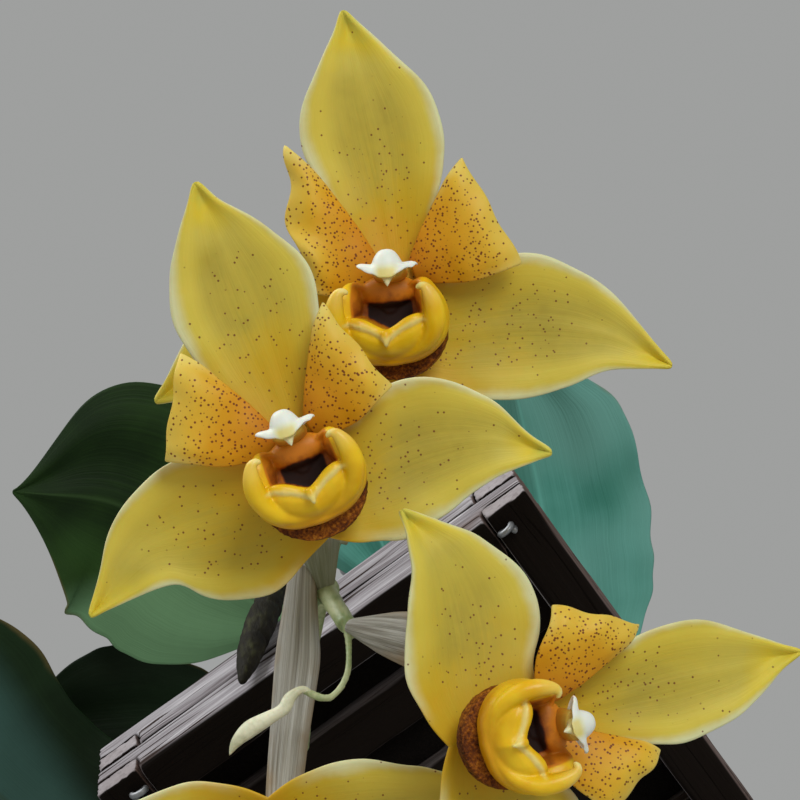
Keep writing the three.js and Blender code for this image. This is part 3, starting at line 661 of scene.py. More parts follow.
# %% Sepals
SEPAL_T = 1.0
DORSAL = [(7, -1), (10, 11), (16.4, 30), (18.7, 42), (16.4, 52), (8.3, 64), (4.1, 69.5), (0.4, 75)]
SIDE_UPPER = [(-1, 3.5), (13, 3), (23, 7.5), (33, 8), (43, 4), (51, -3), (56, -11), (62.6, -21.6)]
SIDE_LOWER = [
    (-1, -23), (6, -27), (13, -29), (21, -30),
    (30, -28.5), (38, -26), (48, -22.6), (62.4, -22.4),
]
SIDE_AXIS = Vector((62.5, -22)).normalized()
UPWARDS = Vector((0, 1))
SEPAL_REACH = 75
HUB_R, HUB_T, HUB_ROUNDING = 8.3, 4, 1.4
HUB_Y, HUB_Z = -2, -0.8


def grown(margin, axis, turn=0, length=1, width=1, bend=0):
    """A margin made longer, wider and turned to the left by degrees, as one sepal has grown."""
    made = []
    for point in margin:
        along = length * axis.dot(Vector(point))
        aside = width * (axis.x * point[1] - axis.y * point[0])
        aside += bend * max(0, along / SEPAL_REACH) ** 3
        x, y = along * axis.x - aside * axis.y, along * axis.y + aside * axis.x
        c, s = math.cos(math.radians(turn)), math.sin(math.radians(turn))
        made.append((x * c - y * s, x * s + y * c))
    return made


def sepal(name, first, second, depth, rise, seed):
    """One sepal between its two margins."""
    left, right = curve(first), curve(second)

    def surface(u, v):
        flat = left(u).lerp(right(u), v)
        side = 2 * v - 1
        lift = rise * u * u - depth * math.sin(math.pi * min(1, 0.08 + u)) * (1 - side * side)
        keel = -3.2 * smooth_step(u, 0.72, 0.93) * (1 - abs(side)) * (1 - smooth_step(u, 0.95, 1))
        rim = -1.3 * smooth_step(abs(side), 0.72, 1) * smooth_step(u, 0.12, 0.4)
        rib = 0.35 * math.exp(-((side / 0.09) ** 2)) * smooth_step(u, 0.05, 0.3)
        wave = 1.0 * lumps((flat.x, flat.y, seed), 17) + 0.45 * lumps((flat.x, flat.y, seed), 7)
        wave *= smooth_step(u, 0.1, 0.35) * (0.35 + 0.65 * abs(side))
        sway = 1.1 * side * lumps((60 * u, 5 * side, seed), 9) * smooth_step(u, 0.12, 0.3)
        sway *= 1 - smooth_step(u, 0.9, 1)
        flat += (right(u) - left(u)).normalized() * sway
        return flat.x, flat.y, lift + keel + rim + rib + wave

    return thin(name, surface, 30, 18, SEPAL_T)


def hub(name):
    """The short thick heart that carries the sepals, in front of the stalk."""
    bpy.ops.object.select_all(action="DESELECT")
    bpy.ops.mesh.primitive_cylinder_add(
        vertices=32, radius=HUB_R * MM, depth=HUB_T * MM, location=(0, HUB_Y * MM, HUB_Z * MM)
    )
    piece = bpy.context.object
    piece.name = piece.data.name = name
    add_modifier(piece, "BEVEL", width=HUB_ROUNDING * MM, segments=4)
    for loop in piece.data.uv_layers.active.data:
        loop.uv = (0.02, 0.5)
    return settle(piece)


def mirrored(points):
    return [(-x, y) for x, y in points]


for number, bloom in enumerate(BLOOMS):
    up = [grown(margin, UPWARDS, **bloom.get("dorsal", {})) for margin in (DORSAL, mirrored(DORSAL))]
    sides = {}
    for hand in ("right", "left"):
        change = dict(bloom.get(hand, {}))
        change["turn"] = -change.get("turn", 0)
        lower = bloom.get(f"{hand}_lower", SIDE_LOWER)
        sides[hand] = [grown(margin, SIDE_AXIS, **change) for margin in (SIDE_UPPER, lower)]
    parts = [
        sepal("upper", *up, 4, 4, 10 * number),
        sepal("side_right", *sides["right"], 4, -3, 10 * number + 3),
        sepal("side_left", *map(mirrored, sides["left"]), 4, -3, 10 * number + 6),
        hub("heart"),
    ]
    piece = settle(merged(f"{bloom['name']}_sepals_living", *parts), bloom_place(bloom))
    show(piece, f"{bloom['name']}_sepals", sepal_wax)
print("sepals:", 3 * len(BLOOMS))

# %% [markdown]
# ## Petals
# The two petals stand in front of the sepals, narrow at the heart and cut off broadly outside, where the
# edge rolls back a little. They are made like the sepals. One of them is frilled.

# %% Petals
PETAL_T = 0.9
PETAL_SEAT = 1.95
PETAL_CORNERS = [(19.5, 32.5), (33, 6.5)]
FRILLED = "bloom_2_petal_left"


def bowed(start, end, bows):
    """Margin from start to end through points that stand aside from the straight line."""
    line = [(Vector(start).lerp(Vector(end), share) + Vector((x, y))) for share, x, y in bows]
    return [start, *line, end]


def petal(name, side, corners, seed, frilled):
    upper, lower = corners
    inner = curve(bowed((3.8, 6.8), upper, [(0.3, -1.2, 0), (0.63, -1.4, 0), (0.82, -1.4, 0)]))
    outer = curve(bowed((5, 0.8), lower, [(0.2, 0.8, -1.2), (0.5, 0.6, -2.2), (0.8, -0.8, -1.4)]))

    def surface(u, v):
        flat = inner(u).lerp(outer(u), v)
        rise = PETAL_SEAT + 7 * u - 56 * max(0, u - 0.75) ** 2
        belly = 1.2 * math.sin(math.pi * v)
        edge = smooth_step(u, 0.6, 1)
        frill = frilled * edge * (1.3 * math.sin(9.5 * v + seed) + 0.8 * math.sin(17 * v + 2 * seed))
        wave = 0.9 * lumps((flat.x, flat.y, seed), 9) * smooth_step(u, 0.15, 0.5)
        bulge = (4 * frilled - 1.3) * u**3 * math.sin(math.pi * v)
        bulge += 1.3 * frilled * edge * math.sin(13 * v + seed)
        curl = -1.2 * smooth_step(abs(2 * v - 1), 0.7, 1) * smooth_step(u, 0.25, 0.7)
        return side * (flat.x + bulge), flat.y, rise + belly + frill + wave + curl

    return thin(name, surface, 26, 20, PETAL_T)


for number, bloom in enumerate(BLOOMS):
    for side, hand in ((-1, "left"), (1, "right")):
        corners = bloom.get(f"petal_{hand}", PETAL_CORNERS)
        node = f"{bloom['name']}_petal_{hand}"
        frilled = 1 if node == FRILLED else 0.3
        piece = petal(f"{node}_living", side, corners, 2 * number + side, frilled)
        show(settle(piece, bloom_place(bloom)), node, petal_wax)
print("petals:", 2 * len(BLOOMS))

# %% [markdown]
# ## Lip
# The lip is a glossy cup of wax. Its thick rim rises into two horns, with a painted highlight on their upper
# faces. A shelf fills its lower half, with two cheeks, a pale rolled edge and a small tooth over the throat,
# whose dark is painted shade, as is the deeper orange low on the front. Cup, shelf, rim and tooth are made
# as simple bodies. A voxel remesh then melts them into one, which gives the soft joints of living wax that
# booleans would not.

# %% Lip
LIP_Y = -9
LIP_BASE = 11.9
LIP_OUTLINE = [10, 10.2, 11.3, 12.6, 14, 14.9, 15.3, 15.3, 14.9, 8.6, 7.8]
LIP_CREST = [16.8, 16.8, 17.2, 18, 19, 20, 20.6, 20.4, 17, 13.8, 13.4]
WALL_T = 2.4
PIT_Z = 12.7
LIP_VOXEL = 0.41


def cup(name):
    """The outer wall and the floor of the cup."""

    def surface(u, v):
        turn = 2 * math.pi * v
        t = math.acos(max(-1, min(1, -math.sin(turn)))) / math.pi
        outline, crest = between(LIP_OUTLINE, t), between(LIP_CREST, t)
        wall = crest - LIP_BASE
        rings = [
            (0, LIP_BASE),
            (0.9 * outline, LIP_BASE),
            (outline, LIP_BASE + 0.4 * wall),
            (outline - 0.2, LIP_BASE + 0.85 * wall),
            (outline - 0.5 * WALL_T, crest),
            (outline - WALL_T, LIP_BASE + 0.7 * wall),
            (0.8 * outline - WALL_T, PIT_Z + 0.6),
            (0.4 * outline, PIT_Z),
            (0, PIT_Z),
        ]
        radius = max(0, between([r for r, _ in rings], u)) if 0 < u < 1 else 0
        height = between([z for _, z in rings], u)
        return radius * math.cos(turn), LIP_Y + radius * math.sin(turn), height

    return rolled(name, surface, 32, 72)


# The shelf at shares of its half width: its foot, the lower and upper side of its rolled edge, its height
SHELF_X = 11.3
SHELF_FOOT = [-17, -16.9, -16.5, -15.6, -14, -11]
EDGE_LOW = [-12.5, -10.9, -9.5, -8.6, -7.7, -7.6]
EDGE_HIGH = [-9.3, -8.2, -6.8, -5.9, -5.7, -6.6]
EDGE_Z = [22.3, 21.8, 22.0, 22.2, 21.4, 18.6]


def shelf(name):
    """The shelf, lofted from left to right through its cross-sections."""

    def surface(u, v):
        share = abs(2 * u - 1)
        foot, low, high, z = [between(line, share) for line in (SHELF_FOOT, EDGE_LOW, EDGE_HIGH, EDGE_Z)]
        section = [
            (foot, LIP_BASE + 0.4),
            (foot, 16.4),
            (0.7 * foot + 0.3 * low, 0.4 * 16.4 + 0.6 * z),
            (0.3 * foot + 0.7 * low, 0.1 * 16.4 + 0.9 * z + 0.05),
            (low - 0.35, z - 0.5),
            (low, z - 0.05),
            (0.7 * low + 0.3 * high, z + 0.35),
            (high - 0.3, z - 0.2),
            (high, z - 1.6),
            (high - 0.6, 16),
            (high - 1, LIP_BASE + 0.4),
        ]
        place = v * len(section)
        index, t = int(place) % len(section), place % 1
        a, b, c, d = [section[(index + k) % len(section)] for k in (-1, 0, 1, 2)]
        y, height = [
            q + 0.5 * t * (r - p + t * (2 * p - 5 * q + 4 * r - o + t * (3 * (q - r) + o - p)))
            for p, q, r, o in zip(a, b, c, d)
        ]
        squeezed = 0 if u in (0, 1) else 1
        return SHELF_X * (2 * u - 1), -8.5 + (y + 8.5) * squeezed, 16 + (height - 16) * squeezed

    return rolled(name, surface, 56, 60)


# Half of the rim, from its foot to the tip of a horn, with its radius across and towards the viewer
RIM = [
    (0, -7.3, 16.3), (5, -6.7, 17), (9.2, -4.5, 18.5), (12, -0.6, 20.3), (12.6, 4, 21.9),
    (12, 7.6, 22.9), (10.8, 9.9, 23.2), (9.3, 10.2, 23), (8.4, 9.2, 22.7),
]
RIM_ACROSS = [1.2, 1.4, 1.7, 2.2, 2.5, 2.7, 2.4, 1.6, 0.5]
RIM_TALL = [1.0, 1.2, 1.6, 2.2, 2.6, 2.7, 2.3, 1.5, 0.5]


def rim(name):
    """The thick rim with both horns, swept along its line with an oval section."""
    right = [Vector((x, LIP_Y + y, z)) for x, y, z in RIM]
    line = curve([Vector((-p.x, p.y, p.z)) for p in right[:0:-1]] + right, natural=True)

    def surface(u, v):
        share = abs(2 * u - 1)
        along = heading(line, u)
        side = along.cross(Vector((0, 0, 1))).normalized()
        turn = 2 * math.pi * v
        wide = between(RIM_ACROSS, share) if 0 < u < 1 else 0
        tall = between(RIM_TALL, share) if 0 < u < 1 else 0
        return line(u) + side * wide * math.cos(turn) + side.cross(along) * tall * math.sin(turn)

    return rolled(name, surface, 72, 22)


def tooth(name):
    line = curve([(0, -9.6, 21.4), (0, -11.4, 22.6), (0, -12.8, 23), (0, -14, 22.9)], natural=True)
    return tube(name, line, lambda u: between([1.9, 1.4, 0.8, 0.25], u), 14, 16)


def flap(name, side):
    """Inner wall from a horn down to the throat."""

    def surface(u, v):
        turn = 2 * math.pi * v
        ring = math.sin(math.pi * u) ** 0.7 if 0 < u < 1 else 0
        x = 9.6 + 3.0 * ring * math.cos(turn)
        y = -2.6 + 5.6 * ring * math.sin(turn)
        return side * (x - 0.1 * y), y, 15.6 - 4.6 * math.cos(math.pi * u) - 0.45 * (11 - x)

    return rolled(name, surface, 24, 32)


def back_wall(name):
    """The orange wall over the throat, on which the column stands."""

    def surface(u, v):
        turn = 2 * math.pi * v
        ring = math.sin(math.pi * u) ** 0.8 if 0 < u < 1 else 0
        x, y = 7.5 * ring * math.cos(turn), 0.1 + 4.1 * ring * math.sin(turn)
        return x, y, 13 - 3.2 * math.cos(math.pi * u)

    return rolled(name, surface, 24, 40)


def lip_pale_and_highlight(point):
    """1 on the tips of the horns, the rolled edge and the tooth, and up to 0.3 as a painted highlight on the
    upper rim and horns.
    """
    x, y, z = point.x / MM, point.y / MM, point.z / MM
    share = min(abs(x) / SHELF_X, 1)
    low, high, edge_z = [between(line, share) for line in (EDGE_LOW, EDGE_HIGH, EDGE_Z)]
    edge = smooth_step(y, low - 0.7, low + 0.1) * (1 - smooth_step(y, low + 0.5, 0.4 * low + 0.6 * high))
    edge *= smooth_step(z, edge_z - 1.4, edge_z - 0.4) * (1 - smooth_step(share, 0.8, 1))
    point_of_tooth = (1 - smooth_step(y, -13.2, -11.2)) * (1 - smooth_step(abs(x), 0.8, 2.2))
    point_of_tooth *= smooth_step(z, 21.6, 22.4)
    horn = smooth_step(y + 0.55 * (10 - abs(x)), -0.2, 2.2) * smooth_step(z, 20.5, 23)
    # Painted highlight on the upper rim and horns.
    lit = 0.3 * smooth_step(y, -6, 1) * smooth_step(z, 21, 24.5)
    return max(0.8 * edge, point_of_tooth, horn, lit)


def lip_throat_shade(point):
    """Rises to about a half on the orange walls inside, more so towards the pit as painted shade, and to 1
    in the throat, whose dark is painted shade.
    """
    x, y, z = point.x / MM, point.y / MM, point.z / MM
    share = min(abs(x) / SHELF_X, 1)
    within = smooth_step(y, between(EDGE_HIGH, share) - 0.9, between(EDGE_HIGH, share) + 0.3)
    within *= 1 - smooth_step(abs(x), 8.2, 9.4)
    walls = within * (1 - smooth_step(z, 19.4, 21.6)) * (0.28 + 0.3 * (1 - smooth_step(y, -4, 1.5)))
    # Painted shade: the dark of the throat.
    dark = within * (1 - smooth_step(z, 16, 18.8)) * (1 - smooth_step(y, -3.6, -0.8))
    dark *= 1 - smooth_step(abs(x), 5, 7)
    return max(walls, dark)


def lip_foot_shade(point):
    """1 low on the front, under the overhanging edge, where painted shade makes the wax a deeper orange."""
    y, z = point.y / MM, point.z / MM
    return (1 - smooth_step(z, 15, 20.5)) * (1 - smooth_step(y, -16, -9))


bodies = [cup("cup"), shelf("shelf"), rim("rim"), tooth("tooth"), back_wall("wall")]
model_lip = merged("lip_model", *bodies, flap("flap_left", -1), flap("flap_right", 1))
add_modifier(model_lip, "REMESH", mode="VOXEL", voxel_size=LIP_VOXEL * MM, use_smooth_shade=True)
add_modifier(model_lip, "SMOOTH", factor=0.5, iterations=4)
settle(model_lip)
paint(model_lip, "pale", lip_pale_and_highlight)
paint(model_lip, "throat", lip_throat_shade)
paint(model_lip, "foot", lip_foot_shade)
print("lip:", len(model_lip.data.polygons), "faces")

# %% [markdown]
# ## Pouch
# Behind the lip sits its warty brown pouch. A smooth body is rolled first. Then each point is pushed along
# its normal by fine noise, so that the warts are real and show on the outline.

# %% Pouch
POUCH_OUTLINE = [14, 14.1, 14.2, 14.2, 14, 13.6, 13, 12, 10.6, 8, 7.2]
POUCH_LEVELS = [(0, 1.5), (0.5, 1.5), (0.85, 4), (1, 7.5), (0.97, 10.4), (0.9, 11.6), (0, 11.6)]


def roughen(piece, height_at):
    """Pushes each point along its normal by height_at(place), in millimetres."""
    normals = [vertex.normal.copy() for vertex in piece.data.vertices]
    for vertex, normal in zip(piece.data.vertices, normals):
        vertex.co += normal * height_at(vertex.co / MM) * MM


def pouch(name):
    def surface(u, v):
        turn = 2 * math.pi * v
        t = math.acos(max(-1, min(1, -math.sin(turn)))) / math.pi
        share = between([level[0] for level in POUCH_LEVELS], u) if 0 < u < 1 else 0
        radius = max(0, share) * between(POUCH_OUTLINE, t)
        height = between([level[1] for level in POUCH_LEVELS], u)
        return radius * math.cos(turn), LIP_Y + radius * math.sin(turn), height

    piece = rolled(name, surface, 40, 110)
    roughen(piece, lambda p: 0.28 * lumps(p, 0.9) + 0.25 * lumps(p, 2.6, 5))
    return piece


model_pouch = pouch("pouch_model")
print("pouch:", len(model_pouch.data.polygons), "faces")

# %% [markdown]
# ## Column
# The column is the orange shaft over the throat. At its end sits a white hood with two thin wings and a
# yellow beak underneath. Shaft, hood and beak are separate simple bodies with one painted tint, which
# the finish turns into orange, yellow and ivory.

# %% Column
HOOD = Vector((0, 10.8, 21.4))
HOOD_T = 0.5


def shaft(name):
    line = curve([(0, 3.9, 1.6), (0, 4.6, 7), (0, 4.4, 14), (0, 5.4, 19), (0, 6, 22)], natural=True)

    def surface(u, v):
        turn = 2 * math.pi * v
        wide = between([3.3, 3.3, 4.2, 4.4, 3.8], u) if 0 < u < 1 else 0
        deep = between([2.4, 2.3, 2.6, 2.6, 2.2], u) if 0 < u < 1 else 0
        centre = line(u)
        return wide * math.cos(turn), centre.y + deep * math.sin(turn), centre.z

    piece = rolled(name, surface, 24, 32)
    paint(piece, "tint", lambda p: 0.1 + 0.34 * smooth_step(p.z / MM, 13, 21))
    return piece


def hood(name):
    """A thin cap, open towards the lip, its brim drawn out into two wings."""

    def surface(u, v):
        turn = 2 * math.pi * v
        bell = 4.7 * u**0.55
        flare = smooth_step(u, 0.6, 1)
        sideways = abs(math.cos(turn))
        x = bell * math.cos(turn) * (1 + 0.65 * flare * sideways**3)
        z = 0.85 * bell * math.sin(turn)
        drop = 6.9 * u**1.5
        ragged = 0.9 * lumps((3.4 * math.cos(turn), 3.4 * math.sin(turn), 2), 0.85)
        return x, HOOD.y - drop + flare * (3.0 * sideways**2 + ragged), HOOD.z + z

    piece = grid(name, surface, 18, 46)
    close_seams(piece)
    add_modifier(piece, "SOLIDIFY", thickness=HOOD_T * MM, offset=0)
    add_modifier(piece, "SUBSURF", levels=1, render_levels=1)
    settle(piece)

    def tint(point):
        x, y = abs(point.x / MM), point.y / MM
        return 1 - 0.4 * (1 - smooth_step(x, 1.5, 3.8)) * (1 - smooth_step(y, 5.6, 8.4))

    paint(piece, "tint", tint)
    return piece


def beak(name):
    line = curve([(0, 6, 21.6), (0, 4.8, 22.8), (0, 3.4, 23.6), (0, 1.7, 24.2)], natural=True)
    piece = tube(name, line, lambda u: between([2.6, 2.4, 1.5, 0.8, 0.3], u), 16, 16)
    paint(piece, "tint", lambda p: 0.56 + 0.2 * smooth_step(-p.y / MM, -5, -2.4))
    return piece


model_column = merged("column_model", shaft("shaft"), hood("hood"), beak("beak"))
print("column:", len(model_column.data.polygons), "faces")

# %% [markdown]
# ## One lip, pouch and column for each bloom
# These three are alike in all blooms. Each is copied with a mesh of its own, because its place is part of
# the mesh, and the pattern of its finish then differs from bloom to bloom too.

# %% Copies for each bloom
MODELS = {
    "lip": (model_lip, lip_wax),
    "pouch": (model_pouch, pouch_warts),
    "column": (model_column, column_wax),
}
for bloom in BLOOMS:
    for part, (model, finish) in MODELS.items():
        node = f"{bloom['name']}_{part}"
        piece = bpy.data.objects.new(f"{node}_living", model.data.copy())
        piece.data.name = piece.name
        bpy.context.scene.collection.objects.link(piece)
        show(settle(piece, centre_place(bloom, part)), node, finish)
for model, _ in MODELS.values():
    bpy.data.objects.remove(model)
print("copies:", len(MODELS) * len(BLOOMS))

# %% [markdown]
# ## Finishes of stem, bracts and bud
# The stem is pale green and smooth. The bracts are papery sheaths, straw to grey with fine lengthwise
# streaks, and two of them are still green with sap. The bud is creamy. The streaks follow the UV map, so
# they run along each bract however it bends, which a pattern in space wouldn't.

# %% Finishes of stem, bracts and bud
def bract_finish(name, green):
    finish = Finish(name, Specular_IOR_Level=0.25)
    straw = (0.34, 0.24, 0.13)
    fine = finish.noise(finish.uv((2.5, 60, 1)), 1, 4, 0.6)
    broad = finish.noise(finish.uv((1.6, 11, 1)), 1, 3)
    clouds = finish.noise(finish.place(), 60, 3)
    body = finish.ramp(
        0.55 * fine + 0.45 * broad,
        (0.34, (0.15, 0.135, 0.11)),
        (0.45, (0.34, 0.325, 0.28)),
        (0.55, (0.48, 0.475, 0.43)),
        (0.68, (0.66, 0.665, 0.63)),
    )
    warm = finish.mix((clouds + 0.45 * finish.aside()).over(0.68, 1.0) * 0.8, body, straw)
    sappy = (0.6 * clouds + 0.4 * broad).over(0.62 - green, 0.8 - green)
    warm = finish.mix(0.65 * sappy, warm, (0.17, 0.2, 0.09))
    finish.bump(fine * 0.6 + broad, 0.7, 0.0011)
    return finish.finished(warm, 0.55 + 0.3 * fine)


def stem_finish(name, low, high):
    finish = Finish(name, Roughness=0.45, Subsurface_Weight=0.1, Subsurface_Scale=0.003)
    clouds = finish.noise(finish.place(), 90, 3)
    fine = finish.noise(finish.place((1, 1, 0.25)), 900, 2)
    body = finish.mix((clouds * 0.7 + fine * 0.3).over(0.35, 0.65), low, high)
    finish.bump(fine, 0.25, 0.0004)
    return finish.finished(body, 0.38 + 0.2 * clouds)


bract_paper = bract_finish("bract_paper", 0)
sappy_bract = bract_finish("sappy_bract", 0.3)
stem_skin = stem_finish("stem_skin", (0.2, 0.27, 0.1), (0.45, 0.5, 0.27))
bud_skin = stem_finish("bud_skin", (0.45, 0.46, 0.28), (0.7, 0.7, 0.5))
print("finishes of stem, bracts and bud: 4")

# %% [markdown]
# ## Flower stem, bud and bracts
# The CAD stem is many rods in one. Instead of drawing it again, its mesh is copied, welded, remeshed and
# smoothed, which rounds its facets and swells its joints as growth does. Bud and bracts are new.

# %% Flower stem
STEM_VOXEL = 0.6

piece = cad_copy("flower_stem", "flower_stem_living")
add_modifier(piece, "REMESH", mode="VOXEL", voxel_size=STEM_VOXEL * MM, use_smooth_shade=True)
add_modifier(piece, "SMOOTH", factor=0.5, iterations=7)
settle(piece)
roughen(piece, lambda p: 0.12 + 0.12 * lumps(p, 5))
show(piece, "flower_stem", stem_skin)
print("stem:", len(piece.data.polygons), "faces")

# %% Bud
BUD = [
    (6.6, -98.6, -469.9), (5.2, -101.3, -470.1), (1.6, -101.8, -471.1), (-1.3, -100.8, -472.5),
    (-5.9, -101.4, -473.6), (-11.4, -102.3, -475.1), (-16, -101.9, -476.4), (-19.2, -100.5, -477.4),
]
BUD_RADII = [0.7, 1.1, 1.7, 1.6, 2.0, 2.2, 1.5, 0.4]

piece = tube(
    "bud_living",
    curve(BUD, natural=True),
    lambda u: between(BUD_RADII, u),
    48,
    24,
    lambda u, turn: 0.05 * math.cos(3 * turn + 4 * u) * smooth_step(u, 0.3, 0.5),
)
show(piece, "bud", bud_skin)
print("bud:", len(piece.data.polygons), "faces")

# %% Bracts
HUB_BACK = HUB_Z - 0.5 * HUB_T
GAP = 0.3
STALK_BEND = 32
STALK_STRAIGHT = 4
BRACT_T = 0.7
BRACT_DEPTH = 3.8
STALK_FROM = [(21, -109, -430), (15, -101, -404), (22.4, -103.2, -451.5), (19.9, -112.8, -429)]
BRACTS = [
    {"reach": (0.02, 0.57), "half": [2.6, 5, 6, 5.4, 4], "wrap": [2, 1.9, 1.9, 1.4, 0.6]},
    {"reach": (0.1, 0.5), "half": [3.8, 4.8, 4.4, 3.8], "wrap": [1.9, 1.9, 1.4, 0.6]},
    {
        "reach": (0.01, 0.6),
        "half": [1.6, 5.6, 8.4, 9.4, 10.4],
        "wrap": [2.2, 1.5, 1.2, 1, 0.8],
        "front": [0.3, 1.3],
        "right": [0.2, 2.6, 4.8, 6.4, 8],
    },
    {
        "reach": (-0.02, 0.86),
        "half": [3.2, 6, 5, 4.5, 4, 3.4],
        "wrap": [1.6, 1.5, 1.6, 1.6, 1.3, 0.8],
        "front": [3, 3, 1.6, 0.4, 0, 0],
        "right": [-3.2, -1.2, -0.9, -0.6, 0, 0.4],
    },
]


def stalk_line(bloom, start):
    """The stalk's bend, as a function of its share and that gives place and direction."""
    place = bloom_place(bloom)
    bend = bloom.get("stalk_bend", (0, HUB_Y))
    a = Vector(start)
    b = place @ (Vector((*bend, -STALK_BEND)) * MM) / MM
    c = place @ (Vector((0, HUB_Y, HUB_BACK - GAP - STALK_STRAIGHT)) * MM) / MM

    def at(t):
        return a * (1 - t) ** 2 + b * 2 * t * (1 - t) + c * t * t

    def direction(t):
        return ((b - a) * (1 - t) + (c - b) * t).normalized()

    return at, direction


def linear(values, t):
    place = t * (len(values) - 1)
    index = min(int(place), len(values) - 2)
    return values[index] + (values[index + 1] - values[index]) * (place - index)


def bract(name, line, reach, half, wrap, front=(0, 0), right=(0, 0), seed=0):
    at, direction = line

    def surface(u, v):
        t = reach[0] + u * (reach[1] - reach[0])
        along = direction(t)
        across = along.cross(AWAY).normalized()
        ahead = along.cross(across)
        turn = linear(wrap, u) * (2 * v - 1)
        depth = max(BRACT_DEPTH, 0.6 * linear(half, u))
        crease = 0.5 * lumps((40 * v, 3 * u, seed), 2.4) * smooth_step(u, 0.03, 0.2)
        ragged = 0.02 * lumps((60 * v, 3, seed), 5) * smooth_step(u, 0.8, 1)
        spot = at(t + ragged) + across * (linear(half, u) * math.sin(turn) + linear(right, u))
        return spot + ahead * ((depth + crease) * math.cos(turn) + linear(front, u) + crease)

    return thin(name, surface, 32, 28, BRACT_T)


for number, (bloom, shape, start) in enumerate(zip(BLOOMS, BRACTS, STALK_FROM)):
    node = f"{bloom['name']}_bract"
    piece = bract(f"{node}_living", stalk_line(bloom, start), seed=7 * number, **shape)
    show(piece, node, sappy_bract if number < 2 else bract_paper)
print("bracts:", len(BRACTS))

# %% [markdown]
# ## Leaves
# The leaves are broad, leathery and pleated, each on a thin stalk. Their light is painted into their
# finishes:
# painted shade makes those in the shade dark green, and painted sky light makes those that catch the sky
# blue green. A blade is a sheet along its midrib whose pleats are real folds, and the fine veins are left to
# the finish.

# %% Leaves
LEAF_T = 0.9
PLEATS = 3
BULB_TOP_Z = -276.4
LEAVES = [
    {
        "name": "leaf_front_left",
        "bulb": (-14, -28),
        "rib": [(-22, -46, -206), (-29, -67, -198), (-36, -94, -197), (-46, -121, -201), (-71, -147, -210)],
        "halves": [6, 44, 47, 41, 0.5],
        "sides": 4,
    },
    {
        "name": "leaf_right",
        "bulb": (46, 22),
        "rib": [(50, 42, -204), (60, 14, -184), (79, -22, -174), (91, -53, -180), (102, -85, -196)],
        "halves": [20, 38, 40, 34, 0.5],
        "sides": -3,
    },
    {
        "name": "leaf_left",
        "bulb": (-48, 20),
        "rib": [
            (-72, 14, -222), (-112, 2, -209), (-142, -46, -203), (-143, -106, -207), (-122, -166, -222),
        ],
        "halves": [5, 32, 42, 41, 0.5],
        "sides": 3,
    },
    {
        "name": "leaf_left_back",
        "bulb": (-38, -14),
        "rib": [(-48, -12, -206), (-66, -18, -188), (-92, -34, -178), (-118, -52, -180), (-140, -70, -190)],
        "halves": [5, 24, 38, 32, 0.5],
        "sides": -4,
    },
    {
        "name": "leaf_front",
        "bulb": (18, -22),
        "rib": [(19, -34, -222), (24, -54, -212), (33, -84, -208), (43, -114, -213), (54, -142, -226)],
        "halves": [5, 26, 36, 31, 0.5],
        "sides": 3,
    },
    {
        "name": "leaf_back",
        "bulb": (14, 34),
        "rib": [(13, 46, -218), (10, 72, -200), (4, 112, -194), (-3, 152, -206), (-8, 184, -226)],
        "halves": [5, 34, 45, 38, 0.5],
        "sides": 5,
    },
    {
        "name": "leaf_back_left",
        "bulb": (-28, 44),
        "rib": [(-34, 52, -200), (-48, 70, -176), (-72, 98, -164), (-96, 126, -172), (-114, 150, -192)],
        "halves": [5, 32, 43, 36, 0.5],
        "sides": 5,
    },
]


def leaf_finish(name, deep, light, patch, lit=(0.17, 0.34, 0.17)):
    finish = Finish(name, Specular_IOR_Level=0.18)
    veins = finish.noise(finish.uv((1.2, 60, 1)), 1, 3, 0.6)
    clouds = finish.noise(finish.place(), 22, 4)
    patches = finish.noise(finish.place(), 12, 2).over(0.42, 0.62)
    body = finish.mix((clouds * 0.75 + veins * 0.25).over(0.36, 0.64), deep, light)
    body = finish.mix(patches, body, patch)
    body = finish.mix(finish.painted("lit") * (0.5 + clouds), body, lit)
    height = finish.node("SeparateXYZ", {}, {0: finish.node("NewGeometry", {}, {}, "Normal")}, 2)
    streaked = (clouds * 0.6 + veins * 0.4).over(0.36, 0.64)
    upper = finish.mix(streaked, (0.012, 0.05, 0.008), (0.05, 0.14, 0.025))
    body = finish.mix(height.over(-0.05, 0.25), body, upper)
    midrib = 1 - finish.aside().over(0.0, 0.035)
    body = finish.mix(0.5 * midrib, body, tuple(min(1, 1.5 * c + 0.02) for c in light))
    worn = (finish.aside() + (clouds - 0.5) * 0.3).over(0.98, 1.06)
    body = finish.mix(0.6 * worn, body, (0.2, 0.14, 0.05))
    finish.bump(veins, 0.3, 0.001)
    return finish.finished(body, 0.54 + 0.22 * clouds)


